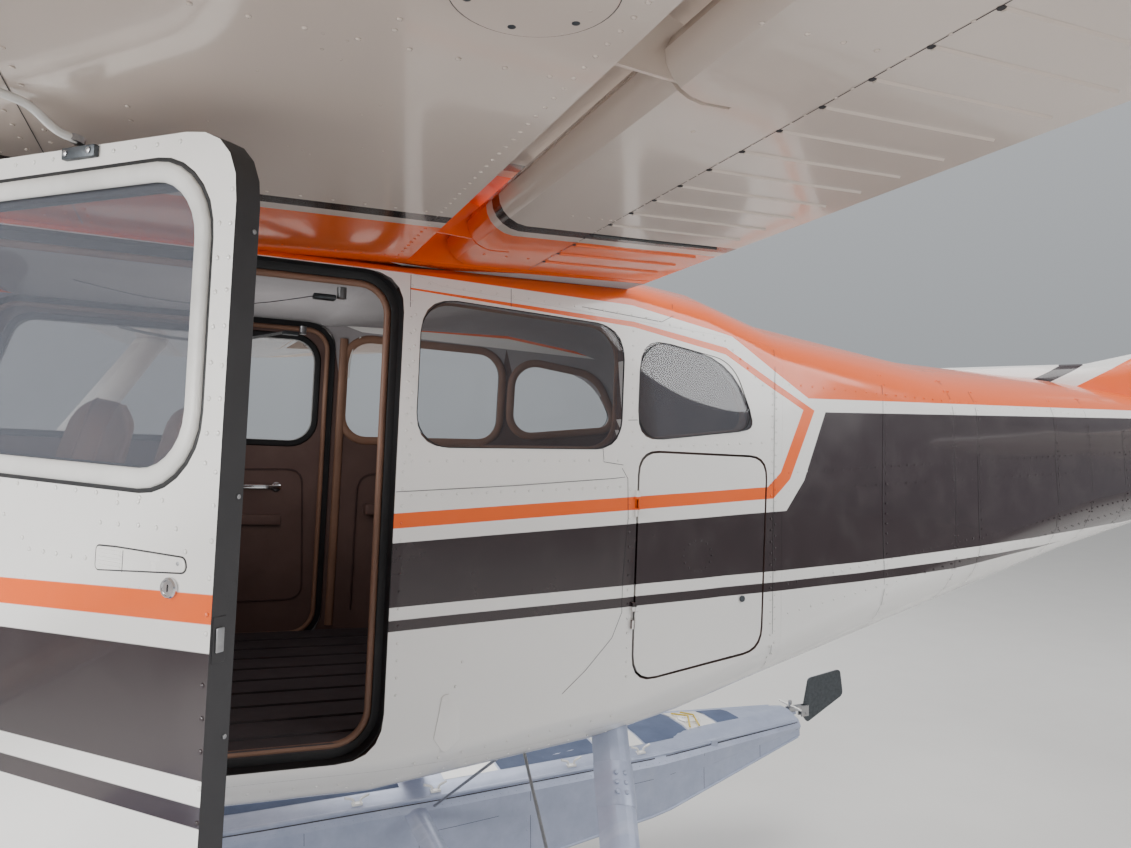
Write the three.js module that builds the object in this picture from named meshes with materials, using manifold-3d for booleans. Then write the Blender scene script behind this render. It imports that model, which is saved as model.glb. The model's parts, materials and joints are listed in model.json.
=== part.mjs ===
// High-wing single-engine floatplane on twin floats, in millimetres: +X aft, +Y to its right, +Z up.
// The origin is on the ground, below the middle of the aircraft's box. Its keels stand on the ground.
import * as THREE from 'three';
import Module from 'manifold-3d';
import { mergeVertices } from 'three/addons/utils/BufferGeometryUtils.js';

const wasm = await Module();
wasm.setup();

// Driving dimensions of the airframe. Stations are measured aft of the firewall and up from the cabin floor.
const span = 10920;
const rootChord = 1626;
const tipChord = 1118;
const rootY = 572;
const taperY = 2540;
const rootTrailingEdge = { x: 2248, z: 1068 };
const dihedral = THREE.MathUtils.degToRad(1.73);
const rootIncidence = THREE.MathUtils.degToRad(1.5);
const tipIncidence = THREE.MathUtils.degToRad(-1.5);
const noseUp = THREE.MathUtils.degToRad(3.05);
const floorHeight = 1484;
const firewallX = -2436.94;
const cabinEnd = 2775;
const doorHinge = { x: 562, y: 583.5, rake: -0.025 };
const doorOpen = THREE.MathUtils.degToRad(48.5);
const sideWidth = 575;
const sideLean = 0.015;
const wallThickness = 35;
const glassThickness = 5;
const thrustZ = 215;
const propellerX = -1020;
const propellerRadius = 1092;
const tailHingeX = 5950;
const rudderHingeX = 6030;
const tailplaneZ = 980;
const tailplaneHalfSpan = 1650;

// Driving dimensions of the floats. Stations are measured level, aft of the firewall, and up from the ground.
const floatY = 1120;
const stepX = 1450;
const transomX = 4005;
const frontStrutX = 350;
const rearStrutX = 2045;

// Clearances
const seam = 0.3;
const movingGap = 6;

const paint = {
  white: new THREE.MeshStandardMaterial({ color: 0xe9e7e2, roughness: 0.25 }),
  orange: new THREE.MeshStandardMaterial({ color: 0xf06e1e, roughness: 0.25 }),
  brown: new THREE.MeshStandardMaterial({ color: 0x2d2023, roughness: 0.25 }),
  floatGrey: new THREE.MeshStandardMaterial({ color: 0xb4b8c8, roughness: 0.4, metalness: 0.4 }),
  darkGrey: new THREE.MeshStandardMaterial({ color: 0x4a4c4e, roughness: 0.5 }),
  glass: new THREE.MeshStandardMaterial({ color: 0xcfd8dc, roughness: 0.05, transparent: true, opacity: 0.3 }),
  leather: new THREE.MeshStandardMaterial({ color: 0x8a5a3a, roughness: 0.6 }),
  steel: new THREE.MeshStandardMaterial({ color: 0x8c8f92, roughness: 0.35, metalness: 1 }),
  black: new THREE.MeshStandardMaterial({ color: 0x1b1b1d, roughness: 0.6 }),
};

// Solids

function toSolid(geometry) {
  const bare = geometry.clone();
  bare.deleteAttribute('normal');
  bare.deleteAttribute('uv');
  const merged = mergeVertices(bare, 1e-3);
  return new wasm.Manifold(new wasm.Mesh({
    numProp: 3,
    vertProperties: merged.attributes.position.array,
    triVerts: new Uint32Array(merged.index.array),
  }));
}

function toGeometry(solid) {
  const { vertProperties, triVerts } = solid.getMesh();
  const geometry = new THREE.BufferGeometry();
  geometry.setAttribute('position', new THREE.BufferAttribute(vertProperties, 3));
  geometry.setIndex(new THREE.BufferAttribute(triVerts, 1));
  geometry.computeVertexNormals();
  return geometry;
}

function union(solids) {
  return solids.reduce((whole, piece) => whole.add(piece));
}

// A closed skin over rings of equal length, with flat ends. The rings run the way that turns its faces out.
function loft(rings) {
  const count = rings[0].length;
  const positions = rings.flat().flatMap((point) => [point.x, point.y, point.z]);
  const index = [];
  for (let ring = 0; ring + 1 < rings.length; ring += 1) {
    for (let i = 0; i < count; i += 1) {
      const a = ring * count + i;
      const b = ring * count + ((i + 1) % count);
      index.push(a, b, a + count, b, b + count, a + count);
    }
  }
  const capTriangles = (ring) => {
    const normal = new THREE.Vector3();
    ring.forEach((point, i) => normal.add(new THREE.Vector3().crossVectors(point, ring[(i + 1) % count])));
    const turn = new THREE.Quaternion().setFromUnitVectors(normal.normalize(), new THREE.Vector3(0, 0, 1));
    const flat = ring.map((point) => point.clone().applyQuaternion(turn));
    return THREE.ShapeUtils.triangulateShape(flat.map((point) => new THREE.Vector2(point.x, point.y)), []);
  };
  const last = (rings.length - 1) * count;
  for (const [a, b, c] of capTriangles(rings[0])) index.push(a, c, b);
  for (const [a, b, c] of capTriangles(rings[rings.length - 1])) index.push(last + a, last + b, last + c);
  const geometry = new THREE.BufferGeometry();
  geometry.setAttribute('position', new THREE.BufferAttribute(new Float32Array(positions), 3));
  geometry.setIndex(index);
  const solid = toSolid(geometry);
  return solid.volume() < 0 ? loft([...rings].reverse()) : solid;
}

function largest(solid) {
  return solid.decompose().sort((a, b) => b.volume() - a.volume())[0];
}

function box(from, to) {
  const size = [0, 1, 2].map((axis) => to[axis] - from[axis]);
  const geometry = new THREE.BoxGeometry(...size);
  return toSolid(geometry.translate(...from.map((low, axis) => low + size[axis] / 2)));
}

// A round bar between two points
function rod(from, to, radius, sides = 12) {
  const start = new THREE.Vector3(...from);
  const along = new THREE.Vector3(...to).sub(start);
  const geometry = new THREE.CylinderGeometry(radius, radius, along.length(), sides);
  const up = new THREE.Vector3(0, 1, 0);
  const turn = new THREE.Quaternion().setFromUnitVectors(up, along.clone().normalize());
  return toSolid(geometry.applyQuaternion(turn).translate(...start.addScaledVector(along, 0.5).toArray()));
}

// A streamlined bar between two points: its section is a rounded nose and a thin tail, its chord lies fore and aft
function streamlined(from, to, chord, thickness) {
  const start = new THREE.Vector3(...from);
  const end = new THREE.Vector3(...to);
  const along = end.clone().sub(start).normalize();
  const across = new THREE.Vector3(1, 0, 0).cross(along).normalize();
  const aft = along.clone().cross(across).negate();
  const outline = [[-0.5, 0], [-0.44, 0.26], [-0.3, 0.42], [-0.1, 0.5], [0.15, 0.42], [0.5, 0.03]];
  const section = [...outline, ...outline.slice(1).reverse().map(([a, b]) => [a, -b])];
  const ringAt = (point) => section.map(([a, b]) => point.clone()
    .addScaledVector(aft, a * chord)
    .addScaledVector(across, b * thickness));
  return loft([ringAt(start), ringAt(end)]);
}

// An outline through corners [x, z, radius], rounded at each corner
function roundedShape(corners) {
  const shape = new THREE.Shape();
  corners.forEach(([x, z, radius], i) => {
    const corner = new THREE.Vector2(x, z);
    const toward = (other) => corner.clone().add(
      new THREE.Vector2(other[0], other[1]).sub(corner).setLength(radius),
    );
    const before = toward(corners[(i + corners.length - 1) % corners.length]);
    const after = toward(corners[(i + 1) % corners.length]);
    if (i === 0) shape.moveTo(before.x, before.y);
    else shape.lineTo(before.x, before.y);
    shape.quadraticCurveTo(x, z, after.x, after.y);
  });
  shape.closePath();
  return shape;
}

// Corners [x, z, radius] moved out from their middle
function grown(corners, by) {
  const middle = [0, 1].map((axis) => {
    const values = corners.map((corner) => corner[axis]);
    return (Math.min(...values) + Math.max(...values)) / 2;
  });
  return corners.map(([x, z, radius]) => [
    x + Math.sign(x - middle[0]) * by,
    z + Math.sign(z - middle[1]) * by,
    radius + by / 2,
  ]);
}

// A side-view outline carried across from one y to another
function sidePrism(shape, fromY, toY) {
  const geometry = new THREE.ExtrudeGeometry(shape, { depth: toY - fromY, bevelEnabled: false, curveSegments: 5 });
  return toSolid(geometry.rotateX(Math.PI / 2).translate(0, toY, 0));
}

// A solid of the right side, or its mirror image for the left
function handed(build, side) {
  const right = build(1);
  return side > 0 ? right : right.mirror([0, 1, 0]);
}

// Body of the fuselage

// Columns: x, top and bottom at the middle, half widths at the shoulder and below, then the rounding of the
// top (across, down) and of the bottom (across, up)
const fuselageFrames = [
  [0, 560, -150, 478, 495, 380, 160, 330, 130],
  [200, 602, -170, 520, 545, 400, 150, 360, 140],
  [640, 1078, -190, 560, 575, 80, 40, 400, 150],
  [780, 1046, -190, 560, 575, 60, 26, 400, 150],
  [1660, 1046, -190, 560, 575, 60, 26, 400, 150],
  [2250, 1150, -140, 498, 523, 460, 120, 380, 160],
  [2500, 1135, -100, 468, 500, 445, 140, 390, 175],
  [cabinEnd, 1072, -35, 432, 476, 412, 160, 400, 190],
  [3500, 1006, 125, 345, 380, 330, 200, 340, 230],
  [4300, 1000, 320, 245, 272, 235, 220, 255, 230],
  [5310, 955, 530, 120, 136, 115, 180, 130, 190],
  [5880, 935, 640, 50, 56, 48, 120, 52, 140],
];

// Columns as above, from the nose ring to the firewall
const cowlFrames = [
  [-952, 395, 20, 250, 260, 230, 160, 235, 150],
  [-915, 440, -40, 355, 360, 290, 180, 290, 160],
  [-820, 470, -95, 410, 420, 330, 180, 320, 160],
  [-400, 520, -130, 450, 465, 370, 170, 330, 140],
  [-seam, 560, -150, 478, 495, 380, 160, 330, 130],
];

const arcSteps = 6;

// The ring of a frame, drawn in by an inset
function frameRing([x, top, bottom, upper, lower, topAcross, topDown, bottomAcross, bottomUp], inset) {
  const half = [];
  for (let step = 0; step <= arcSteps; step += 1) {
    const angle = (step / arcSteps) * (Math.PI / 2);
    half.push([
      lower - bottomAcross + (bottomAcross - inset) * Math.sin(angle),
      bottom + bottomUp - (bottomUp - inset) * Math.cos(angle),
    ]);
  }
  for (let step = 0; step <= arcSteps; step += 1) {
    const angle = (step / arcSteps) * (Math.PI / 2);
    half.push([
      upper - topAcross + (topAcross - inset) * Math.cos(angle),
      top - topDown + (topDown - inset) * Math.sin(angle),
    ]);
  }
  const other = half.map(([y, z]) => [-y, z]).reverse();
  return [...half, ...other].map(([y, z]) => new THREE.Vector3(x, y, z));
}

// The outer body between two stations, drawn in by an inset
function bodyBetween(frames, fromX, toX, inset = 0) {
  const between = (x) => {
    const after = frames.findIndex((row) => row[0] >= x);
    const next = after < 0 ? frames.length - 1 : Math.max(after, 1);
    const [a, b] = [frames[next - 1], frames[next]];
    const share = (x - a[0]) / (b[0] - a[0]);
    return a.map((value, column) => (column ? value + (b[column] - value) * share : x));
  };
  const inner = frames.filter((row) => row[0] > fromX && row[0] < toX);
  return loft([between(fromX), ...inner, between(toX)].map((row) => frameRing(row, inset)));
}

const grownBody = bodyBetween(fuselageFrames, 0, 5880 + seam, -seam);
const cabinOuter = bodyBetween(fuselageFrames, seam, cabinEnd - seam);
const cabinInner = bodyBetween(fuselageFrames, -60, cabinEnd + 60, wallThickness);
const cabinRoom = bodyBetween(fuselageFrames, -60, cabinEnd + 60, wallThickness + seam);
const cabinShell = cabinOuter.subtract(cabinInner);
const glassShell = cabinOuter.subtract(bodyBetween(fuselageFrames, -60, cabinEnd + 60, glassThickness));

// Outlines in side view, as corners [x, z, radius]
const doorCorners = [[566, -30, 70], [552, 560, 60], [690, 1014, 90], [1660, 1014, 85], [1660, -30, 95]];
const doorWindowCorners = [[640, 620, 60], [745, 958, 70], [1606, 964, 75], [1606, 620, 75]];
const midWindowCorners = [[1706, 640, 75], [1706, 975, 80], [2238, 962, 85], [2238, 655, 75]];
const rearWindowCorners = [[2286, 676, 70], [2286, 945, 80], [2590, 905, 120], [2680, 725, 45]];
const baggageDoorCorners = [[2297, 74, 70], [2297, 650, 60], [2718, 648, 60], [2702, 130, 60]];
const windshieldOutline = [
  [60, 612, 1],
  [205, 601, 20],
  [490, 556, 15],
  [655, 1100, 15],
  [600, 1140, 1],
  [60, 1140, 1],
];
const leftSide = [-900, -300];
const rightSide = [300, 900];

const doorCut = sidePrism(roundedShape(grown(doorCorners, movingGap)), -900, 900);
const baggageCut = sidePrism(roundedShape(grown(baggageDoorCorners, movingGap)), -900, 0);
const midWindowCut = sidePrism(roundedShape(midWindowCorners), -900, 900);
const rearWindowCut = sidePrism(roundedShape(rearWindowCorners), -900, 900);
const windshieldCut = sidePrism(roundedShape(windshieldOutline), -900, 900);

// The seams between side, roof and belly skins
const roofSeam = [[600, 1023], [1680, 1023], [1750, 1002], [cabinEnd + 50, 962]];
const bellySeam = [[-50, -62], [2000, -62], [cabinEnd + 50, 22]];

function seamShape(line, edgeZ, gap) {
  const shape = new THREE.Shape();
  line.forEach(([x, z], i) => (i ? shape.lineTo(x, z + gap) : shape.moveTo(x, z + gap)));
  shape.lineTo(line[line.length - 1][0], edgeZ);
  shape.lineTo(line[0][0], edgeZ);
  shape.closePath();
  return shape;
}

const aboveRoofSeam = sidePrism(seamShape(roofSeam, 1400, 0), -900, 900);
const nearRoofSeam = sidePrism(seamShape(roofSeam, 1400, -seam), -900, 900);
const belowBellySeam = sidePrism(seamShape(bellySeam, -400, 0), -900, 900);
const nearBellySeam = sidePrism(seamShape(bellySeam, -400, seam), -900, 900);

function cabinSide(range) {
  const openings = union([doorCut, midWindowCut, rearWindowCut, windshieldCut, baggageCut]);
  return cabinShell
    .intersect(box([-10, range[0], -300], [cabinEnd + 10, range[1], 1400]))
    .subtract(nearRoofSeam)
    .subtract(nearBellySeam)
    .subtract(openings);
}

// The sides join over the nose deck, ahead of the windshield: the seam there lies on the middle line
function buildCabinSides() {
  const right = cabinSide([seam, 900]).add(hingeBarrels(1, [0, 2]));
  const left = cabinSide([-900, -seam]).add(hingeBarrels(-1, [0, 2]));
  return { left: left.add(baggageBarrels([0, 2])), right };
}

// Door hinges stand on the skin at the front edge: three knuckles, of which the door carries the middle one.
// A hinge gives the x and y of its axis and the y of the skin below it, all at a height
const hingeLevels = [130, 470];
const knuckle = { radius: 7, length: 34, gap: 0.4, leaf: 26, leafThickness: 4 };
const doorHingeLine = {
  x: (z) => doorHinge.x + doorHinge.rake * z,
  y: () => doorHinge.y,
  skin: (z) => sideWidth - z * sideLean,
};

function knuckles(side, hinge, levels, which, carried, size) {
  const pieces = [];
  for (const level of levels) {
    for (const index of which) {
      const low = level + (index - 1.5) * size.length + size.gap / 2;
      const high = low + size.length - size.gap;
      const end = (z) => [hinge.x(z), side * hinge.y(z), z];
      pieces.push(rod(end(low), end(high), size.radius, 10));
      const x = hinge.x(level);
      const skin = hinge.skin(level);
      const reach = carried ? [x + 2, x + size.leaf] : [x - size.leaf, x - 2];
      const near = side * (skin - 12);
      const far = side * (skin + size.leafThickness);
      pieces.push(box([reach[0], Math.min(near, far), low], [reach[1], Math.max(near, far), high]));
      const arm = carried ? [x - 1, x + size.leaf] : [x - size.leaf, x + 1];
      const armNear = side * (skin + 1);
      const armFar = side * hinge.y(level);
      pieces.push(box([arm[0], Math.min(armNear, armFar), low], [arm[1], Math.max(armNear, armFar), high]));
    }
  }
  return union(pieces);
}

function hingeBarrels(side, which, carried = false) {
  return knuckles(side, doorHingeLine, hingeLevels, which, carried, knuckle);
}

const baggageKnuckle = { radius: 2.5, length: 22, gap: 0.4, leaf: 9, leafThickness: 1.2 };
const baggageHinge = {
  levels: [240, 520],
  x: () => 2294,
  y: (z) => baggageHinge.skin(z) + baggageKnuckle.radius + 0.5,
  skin: (z) => 519 - (z - 200) * 0.028,
};

function baggageBarrels(which, carried = false) {
  return knuckles(-1, baggageHinge, baggageHinge.levels, which, carried, baggageKnuckle);
}

function buildDoor(side) {
  const range = side < 0 ? [-900, -500] : [500, 900];
  const slab = sidePrism(roundedShape(doorCorners), ...range);
  const window = sidePrism(roundedShape(doorWindowCorners), ...range);
  return largest(cabinShell.intersect(slab).subtract(window)).add(hingeBarrels(side, [1], true));
}

function buildPane(corners, side) {
  const range = side < 0 ? leftSide : rightSide;
  return glassShell.intersect(sidePrism(roundedShape(grown(corners, -seam)), ...range));
}

function buildBaggageDoor() {
  const slab = sidePrism(roundedShape(baggageDoorCorners), ...leftSide);
  return cabinShell.intersect(slab).add(baggageBarrels([1], true));
}

function buildWindshield() {
  const opening = sidePrism(roundedShape(grown(windshieldOutline, -seam)), -900, 900);
  return glassShell.intersect(opening);
}

// Wing

const skinPoints = 9;
const camber = 0.02;
const camberAt = 0.4;
const thicknessRatio = 0.12;

function meanLine(t) {
  if (t < camberAt) return (camber / camberAt ** 2) * (2 * camberAt * t - t * t);
  return (camber / (1 - camberAt) ** 2) * (1 - 2 * camberAt + 2 * camberAt * t - t * t);
}

function halfThickness(t) {
  const polynomial = 0.2969 * Math.sqrt(t) - 0.126 * t - 0.3516 * t ** 2 + 0.2843 * t ** 3 - 0.1015 * t ** 4;
  return 5 * thicknessRatio * polynomial + 0.002 * t;
}

// Chord, trailing edge and incidence of the wing at a distance from the middle line
function wingSection(y) {
  const share = Math.max(0, (y - taperY) / (span / 2 - taperY));
  const chord = rootChord + (tipChord - rootChord) * share;
  const leadingX = rootTrailingEdge.x - rootChord + ((rootChord - tipChord) / 4) * share;
  const incidence = rootIncidence + (tipIncidence - rootIncidence) * share;
  const quarterZ = rootTrailingEdge.z + 0.75 * rootChord * Math.sin(rootIncidence)
    + Math.tan(dihedral) * (y - rootY);
  return { y, chord, leadingX, incidence, quarterZ };
}

// A point of a section: t along the chord, h above the chord line, both as shares of the chord
function wingPoint(section, t, h, side = 1) {
  return new THREE.Vector3(
    section.leadingX + section.chord * t,
    side * section.y,
    section.quarterZ - (t - 0.25) * section.chord * Math.tan(section.incidence) + section.chord * h,
  );
}

function upperSkin(t) {
  return meanLine(t) + halfThickness(t);
}

function lowerSkin(t) {
  return meanLine(t) - halfThickness(t);
}

// Stations from the nose to the tail of a section, close together at the nose
const quarterTurn = (i) => (i / (skinPoints - 1)) * (Math.PI / 2);
const noseToTail = Array.from({ length: skinPoints }, (_, i) => 1 - Math.cos(quarterTurn(i)));

function fullSection(section, side, scale = 1) {
  const upper = noseToTail.map((t) => wingPoint(section, t, meanLine(t) + halfThickness(t) * scale, side));
  const lower = noseToTail.slice(1).reverse()
    .map((t) => wingPoint(section, t, meanLine(t) - halfThickness(t) * scale, side));
  return [...upper, ...lower];
}

const tipRound = [[5330, 1], [5400, 0.86], [5440, 0.6], [span / 2, 0.28]];

function wholeWing(side) {
  const sections = [[rootY, 1], [taperY, 1], ...tipRound];
  return loft(sections.map(([y, scale]) => fullSection(wingSection(y), side, scale)));
}

// Flap: its nose sits in a cove below an overhanging upper skin
const flapBay = { from: 606, to: 2528 };
const flapNose = { tip: 0.688, upperEnd: 0.785, lowerEnd: 0.722 };
const cove = { lowerLip: 0.637, spar: 0.65, upperLip: 0.722 };
const flapPivot = { x: 1722, drop: 190 };
const overhangSkin = 8;

function coveCutter(side) {
  const ring = (y) => {
    const section = wingSection(y);
    const skin = overhangSkin / section.chord;
    return [
      [cove.lowerLip, -0.2],
      [cove.lowerLip, lowerSkin(cove.lowerLip) + 0.004],
      [cove.spar, upperSkin(cove.spar) - 0.016],
      [cove.upperLip, upperSkin(cove.upperLip) - skin],
      [cove.upperLip, 0.2],
      [1.15, 0.2],
      [1.15, -0.2],
    ].map(([t, h]) => wingPoint(section, t, h, side));
  };
  return loft([ring(flapBay.from - movingGap), ring(flapBay.to + movingGap)]);
}

function flapSection(section, side) {
  const steps = 5;
  const middle = (upperSkin(flapNose.lowerEnd) + lowerSkin(flapNose.lowerEnd)) / 2 - 0.006;
  const points = [[1, upperSkin(1)], [0.9, upperSkin(0.9)]];
  for (let step = 0; step <= steps; step += 1) {
    const angle = (step / steps) * (Math.PI / 2);
    points.push([
      flapNose.upperEnd - (flapNose.upperEnd - flapNose.tip) * Math.sin(angle),
      middle + (upperSkin(flapNose.upperEnd) - middle) * Math.cos(angle),
    ]);
  }
  for (let step = 1; step <= steps; step += 1) {
    const angle = (step / steps) * (Math.PI / 2);
    points.push([
      flapNose.lowerEnd - (flapNose.lowerEnd - flapNose.tip) * Math.cos(angle),
      middle + (lowerSkin(flapNose.lowerEnd) - middle) * Math.sin(angle),
    ]);
  }
  points.push([0.9, lowerSkin(0.9)], [1, lowerSkin(1)]);
  return points.map(([t, h]) => wingPoint(section, t, h, side));
}

// Track plates stand on the wing's rear spar and reach into slots in the flap's nose
const trackStations = [760, 1560, 2400];
const plateThickness = 6;
const trackPlate = { from: 0.64, to: 0.73 };

function trackOutline(section, reach) {
  return [
    [trackPlate.from, -0.01],
    [trackPlate.from, 0.048],
    [reach, 0.022],
    [reach, -0.012],
  ].map(([t, h]) => wingPoint(section, t, h));
}

function plateAt(y, side, points, thickness) {
  const offset = (by) => points.map((point) => new THREE.Vector3(point.x, side * (y + by), point.z));
  return loft([offset(-thickness / 2), offset(thickness / 2)]);
}

function trackPlates(side) {
  return union(trackStations.map((y) => {
    const outline = trackOutline(wingSection(y), trackPlate.to);
    return plateAt(y, side, outline, plateThickness);
  }));
}

function trackSlots(side) {
  const slotOutline = (section) => [[0.6, -0.2], [0.6, 0.2], [0.745, 0.2], [0.745, -0.2]]
    .map(([t, h]) => wingPoint(section, t, h));
  const width = plateThickness + 2 * seam + 0.4;
  return union(trackStations.map((y) => plateAt(y, side, slotOutline(wingSection(y)), width)));
}

function buildFlap(side) {
  const ends = [flapBay.from, flapBay.to].map((y) => flapSection(wingSection(y), side));
  return loft(ends).subtract(trackSlots(side));
}

// Aileron: a round nose about its hinge line
const aileronBay = { from: 2560, to: 5120 };
const aileronHinge = 0.78;

function aileronNoseRadius(section) {
  return halfThickness(aileronHinge) * section.chord;
}

function aileronCutter(side) {
  const ring = (y) => {
    const section = wingSection(y);
    const front = aileronHinge - (aileronNoseRadius(section) + movingGap) / section.chord;
    const corners = [[front, -0.2], [front, 0.2], [1.15, 0.2], [1.15, -0.2]];
    return corners.map(([t, h]) => wingPoint(section, t, h, side));
  };
  return loft([ring(aileronBay.from - movingGap), ring(aileronBay.to + movingGap)]);
}

// A control surface's section: round nose about the hinge, then straight skins to a thin trailing edge
function surfaceSection(hinge, radius, trailing, edge, place) {
  const steps = 6;
  const points = [];
  for (let step = 0; step <= steps; step += 1) {
    const angle = Math.PI / 2 + (step / steps) * Math.PI;
    points.push([hinge + radius * Math.cos(angle), radius * Math.sin(angle)]);
  }
  points.push([trailing, -edge], [trailing, edge]);
  return points.map(([along, off]) => place(along, off));
}

function aileronSection(section, side) {
  const nose = halfThickness(aileronHinge);
  return surfaceSection(aileronHinge, nose, 1, halfThickness(1), (t, h) => {
    const share = Math.min(1, Math.max(0, t));
    return wingPoint(section, t, h + meanLine(t < aileronHinge ? aileronHinge : share), side);
  });
}

const hingePlateStations = [2800, 3840, 4880];
const aileronPin = { radius: 5, reach: 16, slotReach: 30, slotWidth: 11, halfLength: 9 };
const hingeEnds = [aileronBay.from, aileronBay.to].map((y) => {
  const section = wingSection(y);
  return wingPoint(section, aileronHinge, meanLine(aileronHinge));
});

// A point of the straight hinge line between the aileron's two ends
function aileronHingePoint(y, side = 1) {
  const share = (y - aileronBay.from) / (aileronBay.to - aileronBay.from);
  const point = hingeEnds[0].clone().lerp(hingeEnds[1], share);
  return [point.x, side * y, point.z];
}

function aileronPlates(side, thickness, reach) {
  return union(hingePlateStations.map((y) => {
    const section = wingSection(y);
    const radius = aileronNoseRadius(section);
    const [x, , z] = aileronHingePoint(y);
    const half = thickness > plateThickness ? 3 * radius : 0.45 * radius;
    const points = [[-radius - 30, -half], [-radius - 30, half], [reach, half], [reach, -half]]
      .map(([along, up]) => new THREE.Vector3(x + along, 0, z + up));
    return plateAt(y, side, points, thickness);
  }));
}

function aileronPins(side, radius) {
  return union(hingePlateStations.map((y) => rod(
    aileronHingePoint(y - aileronPin.halfLength, side),
    aileronHingePoint(y + aileronPin.halfLength, side),
    radius,
    16,
  )));
}

function buildAileron(side) {
  const ends = [aileronBay.from, aileronBay.to].map((y) => aileronSection(wingSection(y), side));
  return loft(ends)
    .subtract(aileronPlates(side, aileronPin.slotWidth, aileronPin.slotReach))
    .add(aileronPins(side, aileronPin.radius));
}

function buildWing(side) {
  const pinHoles = aileronPins(side, aileronPin.radius + seam);
  return wholeWing(side)
    .subtract(coveCutter(side))
    .subtract(aileronCutter(side))
    .add(trackPlates(side))
    .add(aileronPlates(side, plateThickness, aileronPin.reach).subtract(pinHoles));
}

// The roof carries the wing's middle section between the two root ribs
function buildRoof() {
  const middle = [rootY - seam - 0.2, -rootY + seam + 0.2].map((y) => {
    const section = wingSection(rootY);
    return fullSection({ ...section, y }, 1);
  });
  return cabinShell.intersect(aboveRoofSeam)
    .subtract(windshieldCut)
    .subtract(doorCut)
    .add(loft(middle))
    .subtract(cabinInner);
}

function buildBelly() {
  return cabinShell.intersect(belowBellySeam);
}

// Cabin floor: a board with raised ribs that run fore and aft
const floorBoard = { from: 60, to: 2700, top: -4, thickness: 22, ribs: 9, ribHeight: 5, ribWidth: 60 };

function buildFloor() {
  const { from, to, top, thickness, ribs, ribHeight, ribWidth } = floorBoard;
  const pieces = [box([from, -600, top - thickness], [to, 600, top])];
  for (let rib = 0; rib < ribs; rib += 1) {
    const y = (rib - (ribs - 1) / 2) * 110;
    pieces.push(box([from + 300, y - ribWidth / 2, top - 1], [to - 500, y + ribWidth / 2, top + ribHeight]));
  }
  const doorClear = union([-1, 1].map((side) => box(
    side < 0 ? [520, -700, -60] : [520, sideWidth - wallThickness - movingGap, -60],
    side < 0 ? [1710, -sideWidth + wallThickness + movingGap, 60] : [1710, 700, 60],
  )));
  return union(pieces).intersect(cabinRoom).subtract(doorClear);
}

function bulkhead(fromX, toX) {
  return cabinRoom.intersect(box([fromX, -700, -400], [toX, 700, 1400]));
}

function buildFirewall() {
  return bulkhead(seam, 26);
}

function buildBaggageBulkhead() {
  return bulkhead(2740, 2752);
}

const tailWall = 18;

function buildTailCone() {
  const outer = bodyBetween(fuselageFrames, cabinEnd, 5880);
  const inner = bodyBetween(fuselageFrames, cabinEnd - 50, 5700, tailWall);
  const tubeClearance = rod([tailHingeX, -400, tailplaneZ], [tailHingeX, 400, tailplaneZ], 40);
  return outer.subtract(inner).subtract(grownTailplane()).subtract(tubeClearance);
}

// Engine cowl: a shell with two air intakes, a hole for the propeller shaft and an outlet below the firewall
const cowlWall = 14;
const intake = { y: 235, z: 250, halfWidth: 95, halfHeight: 62 };
const shaftRadius = 48;

function buildCowling() {
  const outer = bodyBetween(cowlFrames, -952, -seam);
  const inner = bodyBetween(cowlFrames, -936, 40, cowlWall);
  const intakes = [-1, 1].map((side) => {
    const shape = roundedShape([
      [side * intake.y - intake.halfWidth, intake.z - intake.halfHeight, 40],
      [side * intake.y - intake.halfWidth, intake.z + intake.halfHeight, 40],
      [side * intake.y + intake.halfWidth, intake.z + intake.halfHeight, 40],
      [side * intake.y + intake.halfWidth, intake.z - intake.halfHeight, 40],
    ]);
    const geometry = new THREE.ExtrudeGeometry(shape, { depth: 300, bevelEnabled: false, curveSegments: 4 });
    return toSolid(geometry.rotateX(Math.PI / 2).rotateZ(Math.PI / 2).translate(-1100, 0, 0));
  });
  const shaftHole = rod([-1100, 0, thrustZ], [-800, 0, thrustZ], shaftRadius + 30, 24);
  const outlet = box([-230, -200, -320], [20, 200, -90]);
  return outer.subtract(inner).subtract(union(intakes)).subtract(shaftHole).subtract(outlet);
}

// Six cylinders, crankcase and accessories as one block, with its mount frame and the shaft to the propeller
const engine = { from: -800, to: -250, halfWidth: 330, low: 20, high: 372 };

function buildEngine() {
  const block = box([engine.from, -engine.halfWidth, engine.low], [engine.to, engine.halfWidth, engine.high]);
  const shaft = rod([engine.from - 130 + seam, 0, thrustZ], [engine.from + 10, 0, thrustZ], shaftRadius, 20);
  const feet = [[-1, 60], [-1, 330], [1, 60], [1, 330]].map(([side, z]) => rod(
    [engine.to - 20, side * 220, z],
    [20, side * 266, z],
    16,
    8,
  ));
  return union([block, shaft, ...feet]).subtract(box([0, -400, -200], [60, 400, 600]));
}

// Exhaust: a collector under the block and a stack out of the right side of the cowl's outlet
const exhaust = { collectorX: -285, y: 120, bendX: -150, bendZ: -60, tipX: -60, tipY: 150, tipZ: -260 };
const exhaustRadius = 32;
const exhaustWall = 5;

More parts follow.
